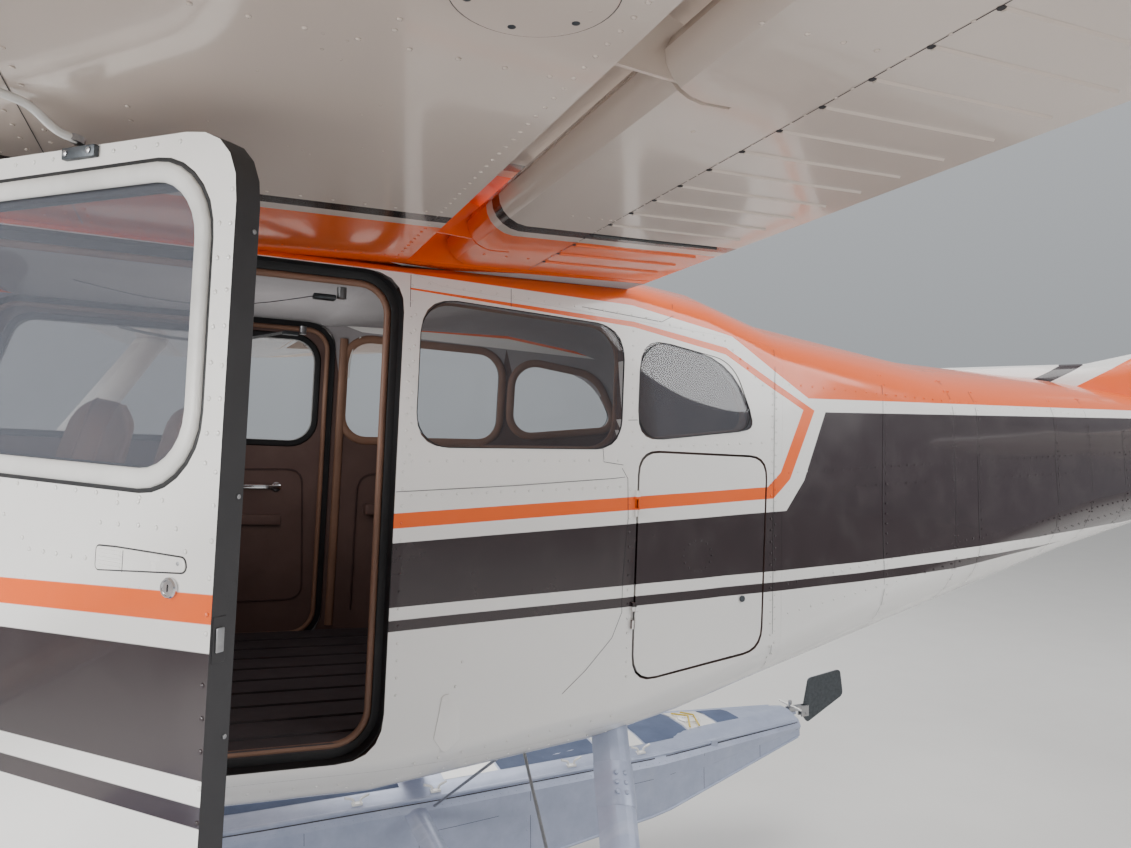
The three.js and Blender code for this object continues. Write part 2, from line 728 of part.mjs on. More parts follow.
function buildExhaust() {
  const bend = [exhaust.bendX, exhaust.y, exhaust.bendZ];
  const tip = [exhaust.tipX, exhaust.tipY, exhaust.tipZ];
  const stub = rod(
    [exhaust.collectorX, exhaust.y, engine.low - seam],
    [exhaust.collectorX, exhaust.y, engine.low - 50],
    exhaustRadius,
    16,
  );
  const collector = rod([exhaust.collectorX - 10, exhaust.y, engine.low - 45], bend, exhaustRadius - 2, 16);
  const below = bend.map((value, axis) => value + (tip[axis] - value) * 0.1);
  const beyond = bend.map((value, axis) => value + (tip[axis] - value) * 1.05);
  const bore = rod(below, beyond, exhaustRadius - exhaustWall, 16);
  return union([rod(bend, tip, exhaustRadius, 16).subtract(bore), collector, stub]);
}

// Propeller: two twisted blades and a hub on the shaft's flange
// Columns: distance from the hub, chord, thickness, pitch angle in degrees
const bladeStations = [
  [40, 95, 84, 62],
  [170, 105, 62, 52],
  [360, 165, 32, 36],
  [720, 172, 18, 23],
  [980, 150, 11, 17],
  [1070, 105, 8, 15],
  [propellerRadius, 50, 6, 14],
];
const bladeOutline = [
  [-0.5, 0],
  [-0.36, 0.4],
  [-0.1, 0.5],
  [0.2, 0.36],
  [0.5, 0],
  [0.2, -0.36],
  [-0.1, -0.5],
  [-0.36, -0.4],
];
const bladeTurn = THREE.MathUtils.degToRad(25);

function blade(way, growth) {
  const rings = bladeStations.map(([reach, chord, thickness, pitch]) => {
    const angle = THREE.MathUtils.degToRad(pitch);
    return bladeOutline.map(([a, b]) => {
      const along = a * (chord + 2 * growth);
      const through = b * (thickness + 2 * growth);
      return new THREE.Vector3(
        propellerX + along * Math.sin(angle) + through * Math.cos(angle),
        way * (along * Math.cos(angle) - through * Math.sin(angle)),
        way * reach,
      );
    });
  });
  return loft(rings);
}

function turnedPropeller(solid) {
  return solid.rotate([THREE.MathUtils.radToDeg(bladeTurn), 0, 0]).translate([0, 0, thrustZ]);
}

function buildPropeller() {
  const hub = rod([-930, 0, 0], [-1110, 0, 0], 62, 20);
  return turnedPropeller(union([blade(1, 0), blade(-1, 0), hub]));
}

// Spinner: a thin shell over the hub, cut away round the blades, on a back plate behind them
const spinner = { front: -1270, back: -962, radius: 168, wall: 5 };

function buildSpinner() {
  const length = spinner.back - spinner.front;
  const outline = (inset) => {
    const steps = 7;
    const points = [];
    for (let step = 0; step <= steps; step += 1) {
      const share = step / steps;
      const radius = (spinner.radius - inset) * Math.sqrt(Math.sin(share * (Math.PI / 2)));
      points.push(new THREE.Vector2(step ? radius : 0, spinner.front + inset + share * (length - inset)));
    }
    return points;
  };
  const outer = new THREE.LatheGeometry([...outline(0), new THREE.Vector2(0, spinner.back)], 28);
  const inner = new THREE.LatheGeometry([
    ...outline(spinner.wall),
    new THREE.Vector2(0, spinner.back),
  ], 28);
  const alongX = (geometry) => geometry.rotateZ(-Math.PI / 2);
  const shell = toSolid(alongX(outer)).subtract(toSolid(alongX(inner)));
  const plate = rod([spinner.back - 8, 0, 0], [spinner.back, 0, 0], spinner.radius - 2, 28);
  const hubRoom = rod([-900, 0, 0], [-1115, 0, 0], 62 + seam, 20);
  const blades = union([blade(1, 6), blade(-1, 6)]);
  const whole = shell.add(plate).subtract(hubRoom).subtract(blades);
  return turnedPropeller(largest(whole));
}

// Instrument panel with its glare shield and the two control wheels on their shafts
function buildPanel() {
  const panel = box([395, -600, 300], [415, 600, 612]);
  const shield = box([300, -600, 600], [440, 600, 618]);
  const wheels = [-1, 1].flatMap((side) => {
    const y = side * 265;
    const wheel = [
      rod([410, y, 470], [560, y, 470], 14, 12),
      box([548, y - 120, 455], [572, y + 120, 485]),
      box([548, y - 140, 455], [572, y - 112, 570]),
      box([548, y + 112, 455], [572, y + 140, 570]),
    ];
    return wheel;
  });
  const console = box([40, -60, 330], [400, 60, 380]);
  return union([panel.add(shield).add(console).intersect(cabinRoom), ...wheels]);
}

// Seats: a cushion and a back on a frame that stands on the floor
const seatWidth = 470;

function slab(from, to, radius) {
  const shape = roundedShape([
    [from[0], from[2], radius],
    [from[0], to[2], radius],
    [to[0], to[2], radius],
    [to[0], from[2], radius],
  ]);
  return sidePrism(shape, from[1], to[1]);
}

function leaningBack(fromX, y, width, low, high, thickness, lean) {
  const shape = roundedShape([
    [fromX, low, 20],
    [fromX + lean, high, thickness * 0.35],
    [fromX + lean + thickness * 0.8, high, thickness * 0.35],
    [fromX + thickness, low, 20],
  ]);
  return sidePrism(shape, y - width / 2, y + width / 2);
}

// The left seat is slid forward on its rails, the right one back
const frontSeatSlide = { left: -160, right: 0 };

function buildFrontSeat(side) {
  const y = side * 285;
  const floor = floorBoard.top + floorBoard.ribHeight + seam;
  const cushion = slab([720, y - seatWidth / 2, 235], [1150, y + seatWidth / 2, 365], 40);
  const back = leaningBack(1080, y, seatWidth - 20, 250, 730, 110, 125);
  const legs = [-1, 1].map((way) => {
    const legY = y + way * 190;
    return box([760, legY - 12, floor], [1120, legY + 12, 250]);
  });
  const slide = side < 0 ? frontSeatSlide.left : frontSeatSlide.right;
  return union([cushion, back, ...legs]).translate([slide, 0, 0]);
}

function buildRearSeat() {
  const floor = floorBoard.top + seam;
  const cushion = slab([1890, -430, 190], [2290, 430, 320], 40);
  const back = leaningBack(2230, 0, 840, 200, 625, 90, 80);
  const legs = [-1, 1].map((way) => box([1930, way * 380 - 14, floor], [2300, way * 380 + 14, 215]));
  return union([cushion, back, ...legs]);
}

// Tail

const stabilizer = { noseRoot: 5280, noseTip: 5560, rootHalf: 36, tipHalf: 24, tipY: 1560 };
const elevator = { rootEdge: 6400, tipEdge: 6310, inner: 66, edgeHalf: 3, noseRadius: 26, tubeRadius: 15 };

// Half section of a tail surface between its nose and its flat rear face
function tailSection(nose, rear, half, place) {
  const outline = [[0, 0], [0.04, 0.45], [0.14, 0.78], [0.35, 1], [0.7, 0.95], [1, 0.8]];
  const points = [...outline, ...outline.slice(1).reverse().map(([a, b]) => [a, -b])];
  return points.map(([a, b]) => place(nose + a * (rear - nose), b * half));
}

function tailplaneSolid(growth) {
  const rear = tailHingeX - elevator.noseRadius - movingGap + growth;
  const stations = [
    [-tailplaneHalfSpan, stabilizer.noseTip + 120, 10],
    [-stabilizer.tipY, stabilizer.noseTip, stabilizer.tipHalf],
    [0, stabilizer.noseRoot, stabilizer.rootHalf],
    [stabilizer.tipY, stabilizer.noseTip, stabilizer.tipHalf],
    [tailplaneHalfSpan, stabilizer.noseTip + 120, 10],
  ];
  return loft(stations.map(([y, nose, half]) => tailSection(
    nose - growth,
    rear,
    half + growth,
    (x, up) => new THREE.Vector3(x, y, tailplaneZ + up),
  )));
}

function grownTailplane() {
  return tailplaneSolid(seam);
}

const tailHingeStations = [-1300, -700, 700, 1300];

function tailPlates(thickness, reach, half) {
  return union(tailHingeStations.map((y) => box(
    [tailHingeX - elevator.noseRadius - movingGap - 12, y - thickness / 2, tailplaneZ - half],
    [tailHingeX + reach, y + thickness / 2, tailplaneZ + half],
  )));
}

function buildStabilizer() {
  return tailplaneSolid(0).add(tailPlates(plateThickness, 8, 9));
}

function elevatorHalf(side) {
  const ring = (y, trailing, radius) => surfaceSection(
    tailHingeX,
    radius,
    trailing,
    elevator.edgeHalf,
    (x, up) => new THREE.Vector3(x, side * y, tailplaneZ + up),
  );
  const rings = [
    ring(elevator.inner, elevator.rootEdge, elevator.noseRadius),
    ring(stabilizer.tipY, elevator.tipEdge, 19),
    ring(tailplaneHalfSpan, elevator.tipEdge - 90, 9),
  ];
  const rudderRoom = new THREE.Shape([
    new THREE.Vector2(tailHingeX + 50, side * (elevator.inner - 10)),
    new THREE.Vector2(6500, side * (elevator.inner + 235)),
    new THREE.Vector2(6500, side * (elevator.inner - 10)),
  ]);
  const geometry = new THREE.ExtrudeGeometry(rudderRoom, { depth: 200, bevelEnabled: false });
  return loft(rings).subtract(toSolid(geometry.translate(0, 0, tailplaneZ - 100)));
}

function buildElevator() {
  const tube = rod(
    [tailHingeX, -elevator.inner - 20, tailplaneZ],
    [tailHingeX, elevator.inner + 20, tailplaneZ],
    elevator.tubeRadius,
    16,
  );
  return union([elevatorHalf(-1), elevatorHalf(1), tube])
    .subtract(tailPlates(plateThickness + 2 * seam + 0.4, 20, 60));
}

// Columns: height, nose, half thickness
const finLevels = [
  [880, 3780, 26],
  [1010, 3820, 26],
  [1090, 4620, 34],
  [1190, 5060, 42],
  [1300, 5230, 42],
  [1960, 5760, 25],
  [2030, 5850, 8],
];
const rudderNose = 27;
const finRear = rudderHingeX - rudderNose - movingGap;

function buildFin() {
  const rings = finLevels.map(([z, nose, half]) => tailSection(
    nose,
    finRear,
    half,
    (x, off) => new THREE.Vector3(x, off, z),
  ));
  const tubeEnds = [-200, 200].map((y) => [tailHingeX, y, tailplaneZ]);
  const tubeRoom = rod(...tubeEnds, elevator.tubeRadius + 12, 20);
  const belowTube = box([tailHingeX - 27, -200, 700], [6100, 200, tailplaneZ]);
  return loft(rings)
    .add(rudderPlates(plateThickness, 8, 9, [1250, 1800]))
    .subtract(grownBody)
    .subtract(grownTailplane())
    .subtract(tubeRoom)
    .subtract(belowTube);
}

// Columns: height, trailing edge, nose radius
const rudderLevels = [
  [600, 6380, 20],
  [660, 6480, 24],
  [1000, 6580, rudderNose],
  [1600, 6545, 24],
  [1990, 6480, 17],
  [2030, 6390, 8],
];

function rudderPlates(thickness, reach, half, levels) {
  return union(levels.map((z) => box(
    [finRear - 12, -half, z - thickness / 2],
    [rudderHingeX + reach, half, z + thickness / 2],
  )));
}

function buildRudder() {
  const rings = rudderLevels.map(([z, trailing, radius]) => surfaceSection(
    rudderHingeX,
    radius,
    trailing,
    3,
    (x, off) => new THREE.Vector3(x, off, z),
  ));
  return loft(rings).subtract(rudderPlates(plateThickness + 2 * seam + 0.4, 20, 60, [1250, 1800]));
}

// Wing struts, in the airframe's own stations
function buildWingStrut(side) {
  const low = [430, side * 430, -140];
  const high = [1010, side * 2650, 1130];
  return largest(streamlined(low, high, 150, 62)
    .subtract(grownBody)
    .subtract(handed(wholeWing, side).translate([0, 0, -seam])));
}

// Undercarriage, level with the ground

const level = new THREE.Matrix4().makeRotationY(noseUp).setPosition(0, 0, floorHeight);

// An airframe solid, seen from the level undercarriage
function levelled(solid) {
  return solid.transform(level.elements);
}

// Columns: x, deck, chine and keel heights, half widths of deck and chine
const floatFrames = [
  [-1750, 700, 640, 560, 30, 40],
  [-1690, 735, 560, 440, 120, 140],
  [-1450, 745, 450, 235, 215, 255],
  [-1000, 735, 330, 80, 285, 335],
  [-500, 720, 255, 6, 320, 372],
  [0, 705, 215, 0, 330, 381],
  [stepX - 2, 675, 180, 0, 330, 381],
  [stepX, 675, 245, 85, 330, 378],
  [2200, 665, 300, 160, 310, 350],
  [3150, 650, 380, 262, 245, 280],
  [transomX, 630, 540, 510, 105, 120],
];
const keelFlat = 18;
const deckEdge = 60;
const deckCrown = 12;

function floatRing([x, deck, chine, keel, deckHalf, chineHalf]) {
  const flat = Math.min(keelFlat, chineHalf / 3);
  const edge = Math.min(deckEdge, (deck - chine) * 0.45);
  const half = [
    [flat, keel],
    [chineHalf, chine],
    [chineHalf * 0.99, chine + (deck - edge - chine) * 0.6],
    [deckHalf + edge * 0.6, deck - edge],
    [deckHalf + edge * 0.1, deck - edge * 0.3],
    [deckHalf - edge * 0.9, deck],
    [deckHalf * 0.3, deck + deckCrown],
  ];
  const other = half.map(([y, z]) => [-y, z]).reverse();
  return [...half, ...other].map(([y, z]) => new THREE.Vector3(x, y, z));
}

function floatHull(side, rise = 0) {
  const rings = floatFrames.map((row) => floatRing(row).map((point) => new THREE.Vector3(
    point.x,
    point.y + side * floatY,
    point.z + rise,
  )));
  return loft(rings);
}

const rudderPost = { x: transomX + 34, radius: 13, low: 545, high: 640, sleeveLow: 560, sleeveHigh: 606 };
const bladePivot = { x: rudderPost.x + 90, z: 600, radius: 6 };
const bladeThickness = 8;

// Each float carries lugs on its transom for the water rudder's post
function transomLugs(side) {
  return union([rudderPost.sleeveLow, rudderPost.sleeveHigh].map((z) => box(
    [transomX - 20, side * floatY - 20, z],
    [rudderPost.x + 22, side * floatY + 20, z + 12],
  )));
}

function buildFloat(side) {
  const postRoom = rod(
    [rudderPost.x, side * floatY, 500],
    [rudderPost.x, side * floatY, 700],
    rudderPost.radius + seam,
    16,
  );
  return floatHull(side).add(transomLugs(side).subtract(postRoom));
}

// The post turns in the lugs; its head holds the blade's pivot
function buildWaterRudderPost(side) {
  const y = side * floatY;
  const postEnds = [rudderPost.low, rudderPost.high].map((z) => [rudderPost.x, y, z]);
  const post = rod(...postEnds, rudderPost.radius, 16);
  const head = box([rudderPost.x - 16, y - 16, 618 + seam], [bladePivot.x - 10, y + 16, rudderPost.high]);
  const ears = [-1, 1].map((way) => box(
    [bladePivot.x - 30, y + way * 13 - 4, bladePivot.z - 14],
    [bladePivot.x + 14, y + way * 13 + 4, rudderPost.high],
  ));
  const pinEnds = [y - 20, y + 20].map((across) => [bladePivot.x, across, bladePivot.z]);
  const pin = rod(...pinEnds, bladePivot.radius, 12);
  const bladeRoom = box([bladePivot.x - 22, y - 9, bladePivot.z - 20], [bladePivot.x + 30, y + 9, 660]);
  return union([post, head.subtract(bladeRoom), ...ears, pin]);
}

// The blade is lifted at rest: it lies aft of its pivot, tail up
function buildWaterRudderBlade(side) {
  const shape = roundedShape([
    [bladePivot.x - 14, bladePivot.z - 12, 8],
    [bladePivot.x - 14, bladePivot.z + 14, 8],
    [bladePivot.x + 22, bladePivot.z + 172, 16],
    [bladePivot.x + 225, bladePivot.z + 196, 22],
    [bladePivot.x + 244, bladePivot.z + 62, 24],
    [bladePivot.x + 14, bladePivot.z - 52, 16],
  ]);
  const y = side * floatY;
  const pinEnd = (across) => [bladePivot.x, y + across, bladePivot.z];
  const hole = rod(pinEnd(-20), pinEnd(20), bladePivot.radius + seam, 12);
  return sidePrism(shape, y - bladeThickness / 2, y + bladeThickness / 2).subtract(hole);
}

const floatsGrown = union([-1, 1].map((side) => floatHull(side, seam)));
const levelBody = levelled(grownBody);

function buildFloatStrut(side, ends) {
  return streamlined(ends.low, ends.high, ends.chord, ends.thickness)
    .subtract(levelBody)
    .subtract(floatsGrown);
}

// Struts end on the belly's corner above and on the float's deck below
function strutEnds(side) {
  return {
    front: {
      low: [frontStrutX, side * (floatY - 70), 620],
      high: [470, side * 330, floorHeight - 130],
      chord: 110,
      thickness: 48,
    },
    rear: {
      low: [rearStrutX, side * (floatY - 20), 620],
      high: [2300, side * 360, floorHeight - 130],
      chord: 100,
      thickness: 46,
    },
  };
}

function buildSpreader(x) {
  return streamlined([x, -floatY, 600], [x, floatY, 600], 90, 42)
    .subtract(floatsGrown)
    .subtract(union([-1, 1].map((side) => floatHull(side, -seam))));
}

// Crossed stays between the floats' inner edges and the belly's far corners: they pass one behind the other
const stay = { radius: 5, aft: 60, apart: 14, lowY: floatY - 300, lowZ: 590, highY: 300 };

function buildStay(side, x, highX) {
  const shift = (side * stay.apart) / 2;
  return rod(
    [x + stay.aft + shift, side * stay.lowY, stay.lowZ],
    [highX + shift, -side * stay.highY, floorHeight - 150],
    stay.radius,
    8,
  ).subtract(levelBody).subtract(floatsGrown);
}

const group = new THREE.Group();
const airframe = new THREE.Group();
const undercarriage = new THREE.Group();
group.position.x = firewallX;
airframe.position.z = floorHeight;
airframe.rotation.y = noseUp;
group.add(airframe, undercarriage);

function place(parent, name, solid, material) {
  const mesh = new THREE.Mesh(toGeometry(solid), material);
  mesh.name = name;
  parent.add(mesh);
  return mesh;
}

const sides = [['left', -1], ['right', 1]];
const cabinSides = buildCabinSides();

place(airframe, 'cowling', buildCowling(), paint.white);
place(airframe, 'engine_block', buildEngine(), paint.steel);
place(airframe, 'exhaust_stack', buildExhaust(), paint.steel);
place(airframe, 'propeller', buildPropeller(), paint.black);
place(airframe, 'spinner', buildSpinner(), paint.white);
place(airframe, 'firewall', buildFirewall(), paint.steel);
place(airframe, 'cabin_roof', buildRoof(), paint.orange);
place(airframe, 'cabin_belly', buildBelly(), paint.white);
place(airframe, 'cabin_floor', buildFloor(), paint.brown);
place(airframe, 'baggage_bulkhead', buildBaggageBulkhead(), paint.brown);
place(airframe, 'tail_cone', buildTailCone(), paint.brown);
place(airframe, 'windshield', buildWindshield(), paint.glass);
place(airframe, 'instrument_panel', buildPanel(), paint.black);
place(airframe, 'seat_rear', buildRearSeat(), paint.leather);
place(airframe, 'baggage_door', buildBaggageDoor(), paint.white);
place(airframe, 'stabilizer', buildStabilizer(), paint.white);
place(airframe, 'elevator', buildElevator(), paint.white);
place(airframe, 'fin', buildFin(), paint.white);
place(airframe, 'rudder', buildRudder(), paint.white);

for (const [name, side] of sides) {
  place(airframe, `cabin_side_${name}`, cabinSides[name], paint.white);
  place(airframe, `window_mid_${name}`, buildPane(midWindowCorners, side), paint.glass);
  place(airframe, `window_rear_${name}`, buildPane(rearWindowCorners, side), paint.glass);
  place(airframe, `seat_front_${name}`, buildFrontSeat(side), paint.leather);
  place(airframe, `wing_${name}`, handed(buildWing, side), paint.white);
  place(airframe, `flap_${name}`, handed(buildFlap, side), paint.white);
  place(airframe, `aileron_${name}`, handed(buildAileron, side), paint.white);
  place(airframe, `wing_strut_${name}`, buildWingStrut(side), paint.white);

  // Each door hangs on a line that is raked forward; the left one stands open
  const doorPivot = new THREE.Group();
  const hingeFoot = new THREE.Vector3(doorHinge.x, side * doorHinge.y, 0);
  const hingeAxis = new THREE.Vector3(doorHinge.rake, 0, 1).normalize();
  doorPivot.position.copy(hingeFoot);
  if (side < 0) doorPivot.quaternion.setFromAxisAngle(hingeAxis, -doorOpen);
  const back = hingeFoot.clone().negate().toArray();
  place(doorPivot, `door_${name}`, buildDoor(side).translate(back), paint.white);
  place(doorPivot, `door_window_${name}`, buildPane(doorWindowCorners, side).translate(back), paint.glass);
  airframe.add(doorPivot);

  const ends = strutEnds(side);
  place(undercarriage, `float_${name}`, buildFloat(side), paint.floatGrey);
  place(undercarriage, `float_strut_front_${name}`, buildFloatStrut(side, ends.front), paint.floatGrey);
  place(undercarriage, `float_strut_rear_${name}`, buildFloatStrut(side, ends.rear), paint.floatGrey);
  place(undercarriage, `stay_front_${name}`, buildStay(side, frontStrutX, 470), paint.steel);
  place(undercarriage, `stay_rear_${name}`, buildStay(side, rearStrutX, 2225), paint.steel);
  place(undercarriage, `water_rudder_post_${name}`, buildWaterRudderPost(side), paint.steel);
  place(undercarriage, `water_rudder_blade_${name}`, buildWaterRudderBlade(side), paint.darkGrey);
}
place(undercarriage, 'spreader_front', buildSpreader(frontStrutX), paint.floatGrey);
place(undercarriage, 'spreader_rear', buildSpreader(rearStrutX), paint.floatGrey);

export default group;
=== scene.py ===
import json
import math

import bmesh
import bpy
from mathutils import Matrix, Vector
from mathutils.bvhtree import BVHTree


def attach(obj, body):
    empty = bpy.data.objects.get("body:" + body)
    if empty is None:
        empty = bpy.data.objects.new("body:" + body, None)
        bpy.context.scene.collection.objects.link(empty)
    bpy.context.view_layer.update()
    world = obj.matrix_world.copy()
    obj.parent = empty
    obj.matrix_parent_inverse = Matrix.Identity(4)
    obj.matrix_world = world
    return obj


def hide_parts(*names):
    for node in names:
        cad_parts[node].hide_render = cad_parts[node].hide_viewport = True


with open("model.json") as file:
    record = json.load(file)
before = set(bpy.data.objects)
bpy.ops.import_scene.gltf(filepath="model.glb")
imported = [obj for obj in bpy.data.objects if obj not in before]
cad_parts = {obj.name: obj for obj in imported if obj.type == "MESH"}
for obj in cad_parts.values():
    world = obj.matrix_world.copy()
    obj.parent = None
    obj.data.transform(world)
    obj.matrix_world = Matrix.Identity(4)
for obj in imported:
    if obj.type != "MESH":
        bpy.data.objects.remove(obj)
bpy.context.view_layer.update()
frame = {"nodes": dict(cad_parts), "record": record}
nodes = frame["nodes"]
bodyOf = {node: body for body, members in frame["record"]["behaviour"]["bodies"].items() for node in members}
print("stage: frame loaded,", len(nodes), "nodes")

# Stations: metres aft of the firewall, out to the right and up from the cabin floor
airframe = {"firewallX": -2.43694, "floorHeight": 1.484, "noseUp": math.radians(3.05)}
doorHinge = {"x": 0.562, "y": 0.5835, "rake": -0.025, "open": math.radians(48.5)}

craftMatrix = (
    Matrix.Translation((airframe["firewallX"], 0, airframe["floorHeight"]))
    @ Matrix.Rotation(airframe["noseUp"], 4, "Y")
)
levelMatrix = Matrix.Translation((airframe["firewallX"], 0, 0))


def turnedAbout(point, axis, angle):
    turn = Matrix.Rotation(angle, 4, Vector(axis))
    return Matrix.Translation(point) @ turn @ Matrix.Translation(-Vector(point))


leftDoorMatrix = craftMatrix @ turnedAbout(
    (doorHinge["x"], -doorHinge["y"], 0), (doorHinge["rake"], 0, 1), -doorHinge["open"]
)

bothSides = ((-1, "left"), (1, "right"))
bothDoors = ((-1, "left", leftDoorMatrix), (1, "right", craftMatrix))


# Camera at the photograph's place
view = {"eye": (-1.1198, -2.415, 2.0898), "turn": math.radians(-22.8), "lens": 27.06, "shiftY": -0.00265}
cameraData = bpy.data.cameras.new("camera")
cameraData.lens = view["lens"]
cameraData.sensor_width = 36
cameraData.shift_y = view["shiftY"]
cameraData.clip_end = 200
camera = bpy.data.objects.new("camera", cameraData)
camera.location = view["eye"]
camera.rotation_euler = (math.radians(90), 0, view["turn"])
bpy.context.scene.collection.objects.link(camera)
bpy.context.scene.camera = camera

# Pale floor, pale surroundings and soft lamps
studio = {
    "floorColour": (0.66, 0.645, 0.62), "horizon": (0.62, 0.66, 0.7), "zenith": (0.95, 0.97, 1.0),
    "strength": 0.62,
}
lamps = [
    # name, place, aim, size, power
    ("keyLamp", (-5.5, -7.5, 6.5), (0, -0.5, 1.5), 5.0, 470),
    ("doorLamp", (-8.5, -3.6, 3.0), (-1.4, -1.0, 1.9), 3.0, 640),
    ("fillLamp", (6.5, -6.0, 5.0), (1.5, 0, 1.5), 5.0, 330),
    ("backLamp", (1.0, 8.0, 6.5), (0, 0, 1.5), 6.0, 420),
    ("topLamp", (0.5, 0.0, 8.5), (0, 0, 0), 7.0, 380),
]


def addLamp(name, place, aim, size, power):
    data = bpy.data.lights.new(name, "AREA")
    data.shape = "DISK"
    data.size = size
    data.energy = power
    lamp = bpy.data.objects.new(name, data)
    lamp.location = place
    lamp.rotation_euler = (Vector(aim) - Vector(place)).to_track_quat("-Z", "Y").to_euler()
    bpy.context.scene.collection.objects.link(lamp)


for row in lamps:
    addLamp(*row)

# A weak hidden lamp inside the cabin stands for the light that a bright day throws in
cabinLamp = bpy.data.lights.new("cabinLamp", "POINT")
cabinLamp.energy = 4.5
cabinLamp.shadow_soft_size = 0.25
cabinLampPiece = bpy.data.objects.new("cabinLamp", cabinLamp)
cabinLampPiece.location = craftMatrix @ Vector((1.45, 0.0, 0.72))
cabinLampPiece.visible_camera = False
cabinLampPiece.visible_glossy = False
bpy.context.scene.collection.objects.link(cabinLampPiece)


# Node graphs
class Graph:
    def __init__(self, name):
        self.material = bpy.data.materials.new(name)
        self.material.use_nodes = True
        self.tree = self.material.node_tree
        self.shader = self.tree.nodes["Principled BSDF"]

    def put(self, target, value):
        if isinstance(value, bpy.types.NodeSocket):
            self.tree.links.new(value, target)
        elif isinstance(value, (tuple, list)) and len(value) == 3 and target.type == "RGBA":
            target.default_value = (*value, 1)
        else:
            target.default_value = value

    def add(self, kind, settings=None, inputs=None):
        made = self.tree.nodes.new(kind)
        for key, value in (settings or {}).items():
            setattr(made, key, value)
        for key, value in (inputs or {}).items():
            self.put(made.inputs[key], value)
        return made

    def math(self, operation, a, b=0.0, c=0.0):
        made = self.add("ShaderNodeMath", {"operation": operation}, {0: a, 1: b, 2: c})
        return made.outputs[0]

    def above(self, a, b, blur=0.0006):
        ramp = self.add("ShaderNodeMapRange", {"clamp": True}, {
            "Value": self.math("SUBTRACT", a, b), "From Min": -blur, "From Max": blur,
        })
        return ramp.outputs[0]

    def mix(self, factor, a, b):
        made = self.add("ShaderNodeMix", {"data_type": "RGBA"}, {0: factor})
        self.put(made.inputs[6], a)
        self.put(made.inputs[7], b)
        return made.outputs[2]

    def station(self):
        split = self.add("ShaderNodeSeparateXYZ", inputs={0: self.place()})
        return split.outputs[0], split.outputs[1], split.outputs[2]

    def place(self):
        return self.add("ShaderNodeAttribute", {"attribute_name": "station"}).outputs["Vector"]

    def noise(self, where, scale, detail=3.0, roughness=0.5, stretch=None):
        if stretch:
            where = self.add("ShaderNodeMapping", inputs={"Vector": where, "Scale": stretch}).outputs[0]
        made = self.add("ShaderNodeTexNoise", inputs={
            "Vector": where, "Scale": scale, "Detail": detail, "Roughness": roughness,
        })
        return made.outputs["Fac"]

    def spread(self, value, low, high, fromLow=0.3, fromHigh=0.7):
        made = self.add("ShaderNodeMapRange", {"clamp": True}, {
            "Value": value, "From Min": fromLow, "From Max": fromHigh, "To Min": low, "To Max": high,
        })
        return made.outputs[0]

    def bump(self, height, distance, strength=1.0, after=None):
        made = self.add(
            "ShaderNodeBump", inputs={"Strength": strength, "Distance": distance, "Height": height},
        )
        if after:
            self.put(made.inputs["Normal"], after)
        return made.outputs[0]

    def finish(self, **sockets):
        names = {
            "colour": "Base Color", "roughness": "Roughness", "metallic": "Metallic", "normal": "Normal",
            "coat": "Coat Weight", "coatRoughness": "Coat Roughness", "sheen": "Sheen Weight", "ior": "IOR",
            "alpha": "Alpha", "specular": "Specular IOR Level",
        }
        for key, value in sockets.items():
            self.put(self.shader.inputs[names[key]], value)
        return self.material


world = bpy.data.worlds.new("studio")
bpy.context.scene.world = world
world.use_nodes = True
worldTree = world.node_tree
background = worldTree.nodes["Background"]
background.inputs["Strength"].default_value = studio["strength"]
sky = worldTree.nodes.new("ShaderNodeTexCoord")
skySplit = worldTree.nodes.new("ShaderNodeSeparateXYZ")
skyRamp = worldTree.nodes.new("ShaderNodeValToRGB")
worldTree.links.new(sky.outputs["Generated"], skySplit.inputs[0])
worldTree.links.new(skySplit.outputs[2], skyRamp.inputs[0])
worldTree.links.new(skyRamp.outputs[0], background.inputs[0])
skyRamp.color_ramp.elements[0].color = (*studio["horizon"], 1)
skyRamp.color_ramp.elements[0].position = 0.0
skyRamp.color_ramp.elements[1].color = (*studio["zenith"], 1)
skyRamp.color_ramp.elements[1].position = 0.5


def floorMaterial():
    g = Graph("studioFloor")
    tone = g.noise(g.add("ShaderNodeTexCoord").outputs["Object"], 3.0)
    colour = g.mix(
        g.spread(tone, 0.0, 1.0), studio["floorColour"], tuple(c * 0.97 for c in studio["floorColour"]),
    )
    return g.finish(colour=colour, roughness=0.85, specular=0.2)


floorMesh = bpy.data.meshes.new("studioFloor")
floorMesh.from_pydata([(-60, -60, 0), (60, -60, 0), (60, 60, 0), (-60, 60, 0)], [], [(0, 1, 2, 3)])
floorMesh.materials.append(floorMaterial())
studioFloor = bpy.data.objects.new("studioFloor", floorMesh)
bpy.context.scene.collection.objects.link(studioFloor)
print("stage: camera, lamps and floor")


# Finishes
paints = {
    "white": (0.80, 0.785, 0.755), "orange": (0.84, 0.120, 0.009), "maroon": (0.022, 0.011, 0.014),
    # The wing's white is darker and warmer than the body's white: painted shade with a painted warm
    # reflection
    "wingWhite": (0.60, 0.51, 0.445), "black": (0.012, 0.011, 0.012), "dust": (0.42, 0.38, 0.33),
}


def line(g, x, points):
    (x0, z0), (x1, z1) = points
    slope = (z1 - z0) / (x1 - x0)
    return g.math("MULTIPLY_ADD", x, slope, z0 - slope * x0)


